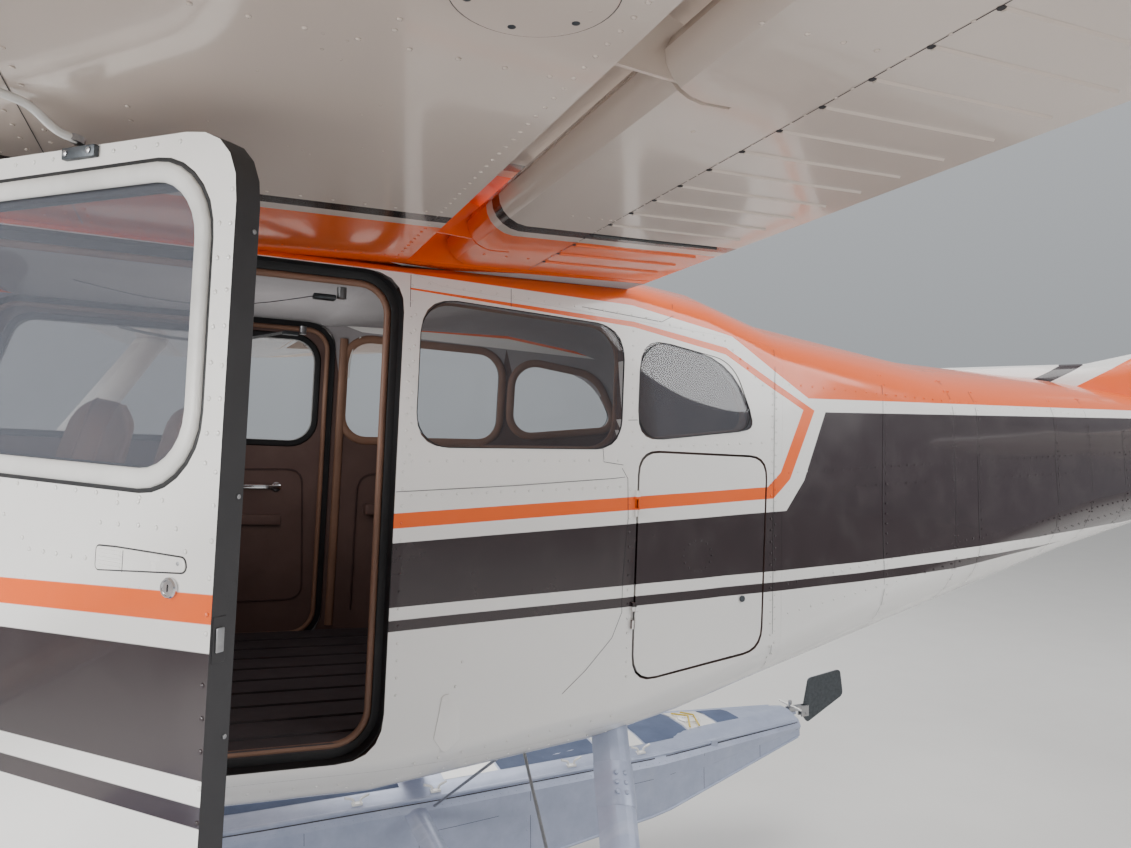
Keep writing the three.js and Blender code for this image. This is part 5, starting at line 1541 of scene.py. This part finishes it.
# Door linings: welt of the panel, arm rest and inside lever, on both doors
doorLining = {
    "inset": 0.035,
    "welt": [(0.63, 0, 0.10), (0.63, 0, 0.50), (1.58, 0, 0.53), (1.60, 0, 0.10), (0.66, 0, 0.08)],
    "rest": (1.21, 0.345, 1.52, 0.380, 0.016), "hub": (1.50, 0.47), "lever": (1.395, 0.463, 1.505, 0.477),
}
for side, name, place in bothDoors:
    node = f"door_{name}"
    inset = doorLining["inset"]
    welt = [inside(p.x, p.z, side, inset + 0.0015) for p in rounded(doorLining["welt"], 0.05)]
    tube(f"doorWelt.{name}", welt, 0.003, "trimDark", node, place, 6)
    fromX, low, toX, high, deep = doorLining["rest"]
    y = inside(1.1, 0.36, side, inset).y
    near, far = sorted((y, y - side * deep))
    block(f"doorArmRest.{name}", (fromX, near, low), (toX, far, high), "trim", node, place, 0.006, 2)
    x, z = doorLining["hub"]
    y = inside(1.45, z, side, inset).y
    profile = [(0.016, 0), (0.016, 0.006), (0.010, 0.009), (0.0001, 0.009)]
    lathe(f"doorLeverHub.{name}", (x, y, z), (0, -side, 0), profile, "chrome", node, place, 16)
    fromX, low, toX, high = doorLining["lever"]
    near, far = sorted((y - side * 0.006, y - side * 0.013))
    block(f"doorLever.{name}", (fromX, near, low), (toX, far, high), "chrome", node, place, 0.003, 2)
print("stage: cabin lining")

# Hold-open rod: bent white bar from the wing's underside to a clip on the left door's top edge
holdOpen = {
    "path": [
        (1.113, -1.193, 1.0195), (1.096, -1.201, 1.0225), (1.085, -1.209, 1.028), (1.073, -1.226, 1.037),
        (1.062, -1.238, 1.042), (1.040, -1.253, 1.0435), (1.000, -1.279, 1.0445), (0.955, -1.306, 1.0445),
    ],
    # clip on the door: from, to, low, high; its screws
    "clip": (1.362, 1.424, 0.9985, 1.0135), "screws": (1.370, 1.414),
}
clipY = -(bodyHalf(1.39, 1.005) + 0.001)
fromX, toX, low, high = holdOpen["clip"]
corners = (fromX, clipY - 0.006, low), (toX, clipY + 0.006, high)
block("rodClip", *corners, "darkMetal", "door_left", leftDoorMatrix, 0.002, 2)
for index, x in enumerate(holdOpen["screws"]):
    lathe(
        f"rodClipScrew{index}", (x, clipY - 0.006, (low + high) / 2), (0, -1, 0),
        [(0.004, -0.001), (0.004, 0.0015), (0.0001, 0.0024)], "steel", "door_left", leftDoorMatrix, 12,
    )
tube("holdOpenRod", rounded(holdOpen["path"], 0.02), 0.0055, "white", "wing_left", sides=12)
end = Vector(holdOpen["path"][0])
lathe(
    "rodEye", end, (0.2, 0.1, 1), [(0.004, -0.004), (0.0095, -0.004), (0.0095, 0.004), (0.004, 0.004)],
    "steel", "wing_left", craftMatrix, 16,
)
foot = Vector(holdOpen["path"][-1])
lathe(
    "rodFoot", foot + Vector((0, 0, 0.002)), (0, 0, 1), [(0.012, -0.006), (0.014, 0.0), (0.014, 0.0065)],
    "steel", "wing_left", craftMatrix, 16,
)


# Wing skins: rows of heads across the span and along the ribs, joints and covers
def wingSpot(x, y, side, top, off=0.0001):
    chord, leading = wingSection(y)[:2]
    return wingSkin((x - leading) / chord, y, side, top, off)


def chordX(t, y):
    chord, leading = wingSection(y)[:2]
    return leading + chord * t


wingRows = {
    # across the span: share of the chord, from, to and pitch
    "span": [
        (0.6205, 0.62, 2.56, 0.0285), (0.6205, 2.60, 5.34, 0.042), (0.250, 0.62, 5.36, 0.050),
        (0.272, 0.62, 5.36, 0.050), (0.085, 0.62, 5.36, 0.060),
    ],
    # along the ribs: their places, then shares of the chord and the pitch
    "ribs": (0.63, 0.985, 1.555, 2.05, 2.56, 3.05, 3.60, 4.15, 4.70, 5.20), "ribSpan": (0.10, 0.605, 0.050),
    "joints": (0.262, 0.100),
    "corner": [
        (1.430, 1.588), (1.430, 1.611), (1.173, 1.261), (1.173, 1.213), (1.588, 1.700), (1.581, 1.649),
    ],
    "small": [
        (1.370, 1.517), (1.367, 1.551), (1.391, 1.546), (1.391, 1.502), (1.312, 1.436), (1.451, 1.401),
        (1.436, 1.362), (1.362, 1.210), (1.382, 1.205), (1.393, 1.192), (1.483, 1.247), (1.455, 1.249),
        (1.263, 1.257),
    ],
}
covers = [
    # x, y, radius, screws, radius of the screws
    (1.531, 1.705, 0.078, 6, 0.062), (1.10, 2.30, 0.075, 6, 0.060),
    (1.30, 3.30, 0.060, 6, 0.047), (1.30, 4.40, 0.060, 6, 0.047),
]


def wingStrip(name, row, side, top, node):
    # Joint in a skin along stations (x, out)
    steps = stepsAlong([Vector(place) for place in row])
    ways = [Vector((step.x, side * step.y, 0)) for step in steps]
    strip = [(*wingSpot(*place, side, top, 0.0002), way) for place, way in zip(row, ways)]
    return ribbons(name, [strip], node, 0.0007)


def acrossSpan(fromY, toY, t):
    return [(chordX(t, y), y) for y in stepped(fromY, toY, 24)]


for side, name in bothSides:
    node = f"wing_{name}"
    for top in (False, True):
        tag = f"{name}.{'top' if top else 'under'}"
        spots = []
        for t, fromY, toY, pitch in wingRows["span"]:
            spots += [wingSpot(chordX(t, y), y, side, top) for y in spacedOver(fromY, toY, pitch)]
        for y in wingRows["ribs"]:
            fromT, toT, pitch = wingRows["ribSpan"]
            spots += [
                wingSpot(chordX(t, y), y, side, top)
                for t in spacedOver(fromT, toT, pitch / wingSection(y)[0])
            ]
        spots += [] if top else [wingSpot(x, y, side, top) for x, y in wingRows["corner"]]
        rivets(f"wingRivets.{tag}", spots, "wing", node, "wing", sides=6)
        for index, t in enumerate(wingRows["joints"]):
            wingStrip(f"wingSeam{index}.{tag}", acrossSpan(0.60, 5.38, t), side, top, node)
    pins = [wingSpot(x, y, side, False) for x, y in wingRows["small"]]
    rivets(f"wingPins.{name}", pins, "wing", node, "wingPin")
    for index, (x, y, radius, count, screwRadius) in enumerate(covers):
        centre, normal = wingSpot(x, y, side, False, 0.0)
        lathe(
            f"cover{index}.{name}", centre, normal,
            [(radius, -0.003), (radius, 0.0004), (radius - 0.001, 0.0011), (0.0001, 0.0011)], "wing", node,
            craftMatrix, 48,
        )
        lathe(
            f"coverJoint{index}.{name}", centre, normal,
            [(radius + 0.0011, -0.003), (radius + 0.0011, 0.00025), (radius - 0.0005, 0.00035)], "seam", node,
            craftMatrix, 48,
        )
        for k in range(count):
            angle = 2 * math.pi * (k + 0.5) / count
            place, up = wingSpot(
                x + screwRadius * math.cos(angle), y + screwRadius * math.sin(angle), side, False, 0.0009,
            )
            lathe(
                f"coverScrew{index}.{k}.{name}", place, up,
                [(0.0042, -0.001), (0.0042, 0.0006), (0.0030, 0.0010), (0.0001, 0.0006)], "darkMetal", node,
                craftMatrix, 10,
            )

# Pressed ribs: a ridge from the screw line to the trailing edge
flapRibs = {
    "from": 0.707, "pitch": 0.0818, "count": 23, "last": 2.52, "start": 1.9345, "end": 0.975,
    "screws": 1.9285, "halfWidth": 0.0042, "height": 0.0030,
    # single heads: place along the span and shares of the chord
    "dots": (
        (1.48, (0.744,)), (1.743, (0.692, 0.725, 0.752, 0.778)), (1.06, (0.753, 0.772, 0.787, 0.798)),
        (2.30, (0.70, 0.73, 0.76)), (0.72, (0.72, 0.75, 0.78)),
    ),
}
aileronRibs = {"from": 2.74, "pitch": 0.128, "count": 19}


def ridge(name, pairs, half, height, node):
    profile = [(-half, 0.0), (-half * 0.45, height), (half * 0.45, height), (half, 0.0)]
    sweep(name, *zip(*pairs), profile, "wing", node, False)


for side, name in bothSides:
    node = f"flap_{name}"
    screws, starts = [], []
    for index in range(flapRibs["count"]):
        y = flapRibs["from"] + index * flapRibs["pitch"]
        if y > flapRibs["last"]:
            break
        stations = stepped(flapRibs["start"], chordX(flapRibs["end"], y), 8)
        pairs = [wingSpot(x, y, side, False, 0.0) for x in stations]
        ridge(f"flapRib{index}.{name}", pairs, flapRibs["halfWidth"], flapRibs["height"], node)
        starts.append(wingSpot(flapRibs["start"] - 0.003, y, side, False, 0.0002))
        places = [y + shift * flapRibs["pitch"] for shift in (0.33, 0.66)]
        screws += [
            wingSpot(flapRibs["screws"], place, side, False, 0.0002) for place in places if place < 2.53
        ]
    rivets(f"flapScrews.{name}", screws, "wing", node, "flapScrew")
    rivets(f"flapRibEnds.{name}", starts, "seam", node, "ribEnd")
    dots = [wingSpot(chordX(t, y), y, side, False) for y, shares in flapRibs["dots"] for t in shares]
    rivets(f"flapRivets.{name}", dots, "wing", node, "flap")
    joint = [(flapRibs["screws"], y) for y in stepped(0.62, 2.54, 16)]
    wingStrip(f"flapJoint.{name}", joint, side, False, node)
    top = [wingSpot(chordX(0.80, y), y, side, True) for y in stepped(0.64, 2.49, 37)]
    rivets(f"flapTopRivets.{name}", top, "wing", node, "flapTop", sides=6)
    node = f"aileron_{name}"
    for index in range(aileronRibs["count"]):
        y = aileronRibs["from"] + index * aileronRibs["pitch"]
        for top in (False, True):
            pairs = [wingSpot(chordX(t, y), y, side, top, 0.0) for t in stepped(0.80, 0.975, 6)]
            ridge(f"aileronRib{index}.{name}.{'top' if top else 'under'}", pairs, 0.004, 0.0024, node)
print("stage: wing details")

# Floats: gunwales, deck panels, hatches, rows of rivets, cleats
floatY = 1.120
floatFrames = [
    # x, deck, chine and keel heights, deck and chine half widths
    (-1.750, 0.700, 0.640, 0.560, 0.030, 0.040), (-1.690, 0.735, 0.560, 0.440, 0.120, 0.140),
    (-1.450, 0.745, 0.450, 0.235, 0.215, 0.255), (-1.000, 0.735, 0.330, 0.080, 0.285, 0.335),
    (-0.500, 0.720, 0.255, 0.006, 0.320, 0.372), (0.000, 0.705, 0.215, 0.000, 0.330, 0.381),
    (1.448, 0.675, 0.180, 0.000, 0.330, 0.381), (1.450, 0.675, 0.245, 0.085, 0.330, 0.378),
    (2.200, 0.665, 0.300, 0.160, 0.310, 0.350), (3.150, 0.650, 0.380, 0.262, 0.245, 0.280),
    (4.005, 0.630, 0.540, 0.510, 0.105, 0.120),
]
floatParts = {
    # each edge strip: section of the hull, share up it, radius
    "strips": {"gunwale": (3, 0.85, 0.0085), "chine": (0, 0.999, 0.006)}, "rivetPitch": 0.034,
    "bulkheads": (-1.30, -0.90, -0.50, -0.05, 0.38, 0.80, 1.22, 1.62, 2.04, 2.50, 2.95, 3.37, 3.72),
    "blueDeck": (
        (-1.20, -0.62), (-0.50, 0.18), (0.52, 1.12), (1.30, 2.00), (2.42, 2.88), (3.113, 3.370),
        (3.559, 3.691),
    ),
    "whiteDeck": ((2.18, 2.41), (2.89, 3.103), (3.380, 3.549)),
    "hatches": ((-0.560, 0.062), (0.350, 0.075), (1.210, 0.075), (2.300, 0.075), (3.440, 0.050)),
    "cleats": (-0.95, 0.62, 1.83, 2.13, 2.72, 3.06), "bracket": 3.450,
    "bumper": ((-1.7495, 0.585), (-1.700, 0.715), 0.060), "rudderArm": (4.039, 0.640), "horn": (0.085, 0.648),
    # tape: x, how far the second strip lies behind, out from the middle, height
    "tape": ((3.392, 0.05, -0.10, 0.662), (3.44, 0.03, 0, 0.676), (3.40, 0.05, 0.09, 0.662)),
}


def floatHalf(x):
    x = min(max(x, floatFrames[0][0]), floatFrames[-1][0])
    for a, b in zip(floatFrames, floatFrames[1:]):
        if a[0] <= x <= b[0]:
            break
    share = (x - a[0]) / (b[0] - a[0])
    rows = []
    for row in (a, b):
        _, deck, chine, keel, deckHalf, chineHalf = row
        edge, flat = min(0.060, (deck - chine) * 0.45), min(0.018, chineHalf / 3)
        rows.append([
            (flat, keel), (chineHalf, chine), (chineHalf * 0.99, chine + (deck - edge - chine) * 0.6),
            (deckHalf + edge * 0.6, deck - edge), (deckHalf + edge * 0.1, deck - edge * 0.3),
            (deckHalf - edge * 0.9, deck), (deckHalf * 0.3, deck + 0.012),
        ])
    return [(p[0] + (q[0] - p[0]) * share, p[1] + (q[1] - p[1]) * share) for p, q in zip(*rows)]


def floatSpot(x, section, share, side, inner, off=0.0):
    # A point on one facet of the hull, and its outward normal
    half, aft = floatHalf(x), floatHalf(x + 0.01)
    way = -side if inner else side
    (y0, z0), (y1, z1) = half[section], half[section + 1]
    y, z = y0 + (y1 - y0) * share, z0 + (z1 - z0) * share
    ya = aft[section][0] + (aft[section + 1][0] - aft[section][0]) * share
    za = aft[section][1] + (aft[section + 1][1] - aft[section][1]) * share
    up = Vector((y1 - y0, z1 - z0))
    normal = Vector((0.01, way * (ya - y), za - z)).cross(Vector((0, way * up.x, up.y)))
    normal = (normal if normal.y * way + normal.z * (1 if section > 3 else 0) > 0 else -normal).normalized()
    return Vector((x, side * floatY + way * y, z)) + normal * off, normal


def deckPanel(name, fromX, toX, side, material, node):
    points, faces = [], []
    for x in stepped(fromX, toX, 6):
        (y5, z5), (y6, z6) = floatHalf(x)[5:]
        edgeY, edgeZ = y5 + (y6 - y5) * 0.10, z5 + (z6 - z5) * 0.10
        for y, z in ((edgeY, edgeZ), (y6, z6), (-y6, z6), (-edgeY, edgeZ)):
            points.append(levelMatrix @ Vector((x, side * floatY + y, z + 0.0010)))
    for row in range(6):
        for step in range(3):
            a = row * 4 + step
            faces.append((a, a + 1, a + 5, a + 4))
    mesh = meshFrom(name, points, faces)
    addStations(mesh, levelMatrix)
    return link(name, mesh, material, node)


def onHull(name, pairs, profile, material, node):
    return sweep(name, *zip(*pairs), profile, material, node, False, levelMatrix)


lap = flatProfile(0.0007, -0.0004, 0.0002)
hullLine = [-1.66] + spacedOver(-1.6, 3.99, 0.10)
for side, name in bothSides:
    node = f"float_{name}"
    for inner in (False, True):
        tag = f"{name}.{'in' if inner else 'out'}"

        def hull(x, section, share, off=0.0):
            return floatSpot(x, section, share, side, inner, off)

        for label, (section, share, radius) in floatParts["strips"].items():
            pairs = [hull(x, section, share) for x in hullLine]
            onHull(f"{label}.{tag}", pairs, roundProfile(radius), "float", node)
        pairs = [hull(x, 3, 0.60, 0.0004) for x in hullLine]
        onHull(f"gunwaleShade.{tag}", pairs, flatProfile(0.0022, -0.0006, 0.0004), "seam", node)
        spots = []
        for x in floatParts["bulkheads"]:
            for section in (0, 1, 2):
                length = math.dist(*floatHalf(x)[section:section + 2])
                shares = spacedOver(0.04, 0.96, floatParts["rivetPitch"] / length)
                spots += [hull(x, section, share, 0.0001) for share in shares]
        for x in spacedOver(-1.45, 3.95, floatParts["rivetPitch"]):
            spots += [hull(x, section, share, 0.0001) for section, share in ((0, 0.93), (1, 0.10), (3, 0.25))]
        rivets(f"floatRivets.{tag}", spots, "float", node, "skin", levelMatrix, 6)
        for index, x in enumerate(floatParts["bulkheads"]):
            pairs = [
                hull(x + 0.014, section, share, 0.0003) for section in (0, 1, 2)
                for share in (0.02, 0.5, 0.98)
            ]
            onHull(f"floatLap{index}.{tag}", pairs, lap, "seam", node)
        onHull(f"sideLap.{tag}", [hull(x, 2, 0.35, 0.0003) for x in hullLine], lap, "seam", node)
        for index, x in enumerate(floatParts["cleats"]):
            y, z = hull(x, 4, 0.35)[0].yz
            low, high = (x - 0.020, y - 0.012, z - 0.003), (x + 0.020, y + 0.012, z + 0.006)
            block(f"cleatFoot{index}.{tag}", low, high, "white", node, levelMatrix, 0.002, 2)
            horn = ((0.045, 0.030), (0.014, 0.020), (0.012, 0.002))
            path = rounded([(x - out, y, z + up) for out, up in horn], 0.01)
            path += rounded([(x + out, y, z + up) for out, up in reversed(horn)], 0.01)
            tube(f"cleatHorn{index}.{tag}", path, 0.005, "white", node, levelMatrix, 8)
    for index, (fromX, toX) in enumerate(floatParts["blueDeck"]):
        deckPanel(f"deckGrip{index}.{name}", fromX, toX, side, "deckBlue", node)
    for index, (fromX, toX) in enumerate(floatParts["whiteDeck"]):
        deckPanel(f"deckPatch{index}.{name}", fromX, toX, side, "white", node)
    middle = side * floatY
    for index, (x, radius) in enumerate(floatParts["hatches"]):
        top = floatHalf(x)[6][1]
        profile = [
            (radius + 0.010, -0.014), (radius + 0.010, 0.003), (radius + 0.002, 0.004), (radius, 0.011),
            (radius - 0.006, 0.013), (radius * 0.5, 0.0145), (0.0001, 0.015),
        ]
        lathe(f"hatch{index}.{name}", (x, middle, top), (0, 0, 1), profile, "white", node, levelMatrix, 36)
        reach = radius * 0.6
        low, high = (x - reach, middle - 0.006, top + 0.013), (x + reach, middle + 0.006, top + 0.019)
        block(f"hatchGrip{index}.{name}", low, high, "white", node, levelMatrix, 0.003, 3)
    x, y, z = floatSpot(floatParts["bracket"], 3, 0.80, side, True)[0]
    low, high = (x - 0.018, y - 0.012, z - 0.030), (x + 0.018, y + 0.012, z + 0.012)
    block(f"sideBracket.{name}", low, high, "float", node, levelMatrix, 0.003, 2)
    for index in (0, 1):
        path = [(x + step * index, middle + y, z) for x, step, y, z in floatParts["tape"]]
        tube(f"yellowTape{index}.{name}", path, 0.004, "yellowTape", node, levelMatrix, 6)
    (fromX, low), (toX, high), half = floatParts["bumper"]
    corners = (fromX, middle - half, low), (toX, middle + half, high)
    block(f"bowBumper.{name}", *corners, "darkMetal", node, levelMatrix, 0.020, 4)
    # Water rudder: arm and horn on the top of its post
    node = f"water_rudder_post_{name}"
    profile = [
        (0.016, -0.002), (0.016, 0.006), (0.009, 0.008), (0.009, 0.030), (0.006, 0.034), (0.0001, 0.034),
    ]
    (x, z), (reach, level) = floatParts["rudderArm"], floatParts["horn"]
    lathe(f"rudderArm.{name}", (x, middle, z), (0, 0, 1), profile, "steel", node, levelMatrix, 16)
    ends = [(x, middle - reach, level), (x, middle + reach, level)]
    tube(f"rudderHorn.{name}", ends, 0.006, "white", node, levelMatrix, 8)

# Struts: cuffs at both ends, with rows of rivets
strutTable = {
    # foot and top in stations, chord, thickness, frame, shares of the cuffs, half their length, finish
    "float_strut_front": (
        (0.350, 1.050, 0.620), (0.470, 0.330, 1.354), 0.110, 0.048, levelMatrix, (0.09, 0.80), 0.055,
        "float",
    ),
    "float_strut_rear": (
        (2.045, 1.100, 0.620), (2.300, 0.360, 1.354), 0.100, 0.046, levelMatrix, (0.09, 0.775), 0.055,
        "float",
    ),
    "wing_strut": (
        (0.430, 0.430, -0.140), (1.010, 2.650, 1.130), 0.150, 0.062, craftMatrix, (0.05, 0.945), 0.035,
        "white",
    ),
}
strutOutline = [
    (-0.5, 0), (-0.44, 0.26), (-0.3, 0.42), (-0.1, 0.5), (0.15, 0.42), (0.5, 0.03), (0.15, -0.42),
    (-0.1, -0.5), (-0.3, -0.42), (-0.44, -0.26),
]
cuffRivets = {"rows": (-0.024, 0.0, 0.024), "places": ((-0.22, 0.475), (0.02, 0.5)), "proud": 1.08}

for kind, (low, high, chord, thickness, matrix, shares, half, material) in strutTable.items():
    for side, name in bothSides:
        node = f"{kind}_{name}"
        a, b = Vector(sided(low, side)), Vector(sided(high, side))
        ahead = (b - a).normalized()
        outward = Vector((1, 0, 0)).cross(ahead).normalized()
        aft = -ahead.cross(outward)
        for index, share in enumerate(shares):
            middle = a.lerp(b, share)
            points = []
            for step, grow in ((-half, 1.015), (-half + 0.004, 1.05), (half - 0.004, 1.05), (half, 1.015)):
                for p, q in strutOutline:
                    off = aft * p * chord * grow + outward * q * thickness * (grow + 0.03)
                    points.append(matrix @ (middle + ahead * step + off))
            mesh = meshFrom(f"{kind}Cuff{index}.{name}", points, hoop(4, len(strutOutline)), True, 0.8)
            addStations(mesh, matrix)
            link(f"{kind}Cuff{index}.{name}", mesh, material, node)
            spots = []
            for way in (-1, 1):
                for row in cuffRivets["rows"]:
                    for back, depth in cuffRivets["places"]:
                        out = outward * way * thickness * depth * cuffRivets["proud"]
                        spots.append((middle + ahead * row + aft * back * chord + out, outward * way))
            rivets(f"{kind}CuffRivets{index}.{name}", spots, material, node, "cuff", matrix, 10)
print("stage: float and strut details")

# Belly: cover plate on the left
bellyCover = [
    (1.796, 0.088, 0.008), (1.812, 0.092, 0.008), (1.838, 0.050, 0.006), (1.842, -0.010, 0.010),
    (1.806, -0.040, 0.010), (1.780, -0.005, 0.010), (1.790, 0.050, 0.006),
]
plate("bellyCover", bellyCover, -1, -0.0005, 0.0014, "white", "cabin_side_left", craftMatrix, 0.0004)

# Nose: joints of the cowling, its fasteners, rivets behind it and screws of the spinner
cowl = {"joint": 0.185, "from": -0.905, "to": -0.030, "pitch": 0.105, "rear": -0.038}
bootRows = [(0.034, [(0.02, 0.02), (0.02, 0.48)]), (0.034, [(0.26, -0.02), (0.26, 0.55)])]
for side, name in bothSides:
    rows = [
        [(x, cowl["joint"]) for x in stepped(cowl["from"], cowl["to"], 12)],
        [(-0.052, z) for z in stepped(0.02, 0.44, 12)], [(-0.700, z) for z in stepped(-0.06, 0.39, 15)],
    ]
    seams(f"cowlJoint.{name}", rows, "cowling", 0.0010, side)
    places = [
        (cowl["from"] + 0.05 + cowl["pitch"] * k, cowl["joint"] + way * 0.016) for k in range(8)
        for way in (-1, 1)
    ]
    places += [(cowl["rear"], 0.075 * k) for k in range(7)]
    spots = [onBody(x, z, side, 0.0002) for x, z in places]
    rivets(f"cowlFasteners.{name}", spots, "steel", "cowling", "cowl", sides=12)
    bodyRivets(f"bootRivets.{name}", bootRows, f"cabin_side_{name}", side)

spinnerRow = {"x": -0.975, "radius": 0.1672, "count": 16}
spots = []
for k in range(spinnerRow["count"]):
    angle = 2 * math.pi * k / spinnerRow["count"]
    normal = Vector((0, math.cos(angle), math.sin(angle)))
    spots.append((Vector((spinnerRow["x"], 0, 0)) + normal * spinnerRow["radius"], normal))
rivets("spinnerScrews", spots, "steel", "spinner", "spinner", sides=10)

# Instrument panel: dials with pointers, radios, and two control wheels on their shafts
dials = {"levels": (0.395, 0.300), "places": (-0.340, -0.250, -0.160, 0.120, 0.210), "radius": 0.039}
yoke = {
    "y": 0.285, "reach": 0.12, "below": 0.16,
    # half of a wheel: aft of the panel, out and down from its top
    "wheel": ((0.120, 0.145, 0.05), (0.125, 0.150, 0.16), (0.125, 0.09, 0.205)), "hub": (0.125, 0, 0.165),
}
node = "instrument_panel"
panelInverse = craftMatrix.inverted() @ nodes[node].matrix_world
panelCorners = [panelInverse @ Vector(corner) for corner in nodes[node].bound_box]
panelAft, panelTop = max(corner.x for corner in panelCorners), max(corner.z for corner in panelCorners)
radius = dials["radius"]
profile = [
    (radius, -0.002), (radius, 0.004), (radius - 0.005, 0.004), (radius - 0.007, 0.001), (0.0001, 0.001),
]
for row, z in enumerate(dials["levels"]):
    for index, y in enumerate(dials["places"]):
        level = min(z, panelTop - 0.05 - 0.09 * row)
        centre = (panelAft, y, level)
        lathe(f"dial{row}.{index}", centre, (1, 0, 0), profile, "darkMetal", node, craftMatrix, 28)
        low = (panelAft + 0.0015, y - 0.001, level - 0.006)
        high = (panelAft + 0.0025, y + 0.001, level + radius - 0.012)
        block(f"pointer{row}.{index}", low, high, "white", node, craftMatrix, 0.0004, 1)
low, high = (panelAft - 0.002, -0.075, panelTop - 0.215), (panelAft + 0.006, 0.075, panelTop - 0.035)
block("radioStack", low, high, "darkMetal", node, craftMatrix, 0.002, 2)
for way, name in bothSides:
    y, z = way * yoke["y"], panelTop - yoke["below"]
    shaft = [(panelAft - 0.01, y, z), (panelAft + yoke["reach"], y, z)]
    tube(f"yokeShaft.{name}", shaft, 0.011, "steel", node)
    half = [(aft, -out, down) for aft, out, down in yoke["wheel"]]
    wheel = [*half, yoke["hub"], *reversed(yoke["wheel"])]
    path = rounded([(panelAft + aft, y + out, panelTop - down) for aft, out, down in wheel], 0.05)
    tube(f"yoke.{name}", path, 0.0125, "rubber", node, sides=12)

# Tail cone: joints round the body and rows of rivets
tailJoints = (  # x, low, high
    (3.19, 0.10, 0.92), (3.65, 0.20, 0.90), (4.10, 0.32, 0.90), (4.55, 0.42, 0.90), (4.98, 0.50, 0.88),
    (5.35, 0.58, 0.86),
)
tailRows = [(0.030, [(x + 0.014, low), (x + 0.014, high)]) for x, low, high in tailJoints]
tailRows += [(0.036, [(2.80, 0.610), (5.60, 0.800)]), (0.036, [(2.80, 0.300), (5.60, 0.690)])]
for side, name in bothSides:
    rows = [[(x, z) for z in stepped(low, high, 10)] for x, low, high in tailJoints]
    seams(f"tailJoints.{name}", rows, "tail_cone", 0.0008, side)
    bodyRivets(f"tailRivets.{name}", tailRows, "tail_cone", side)
print("stage: nose, panel and tail details")


print("stage: done")
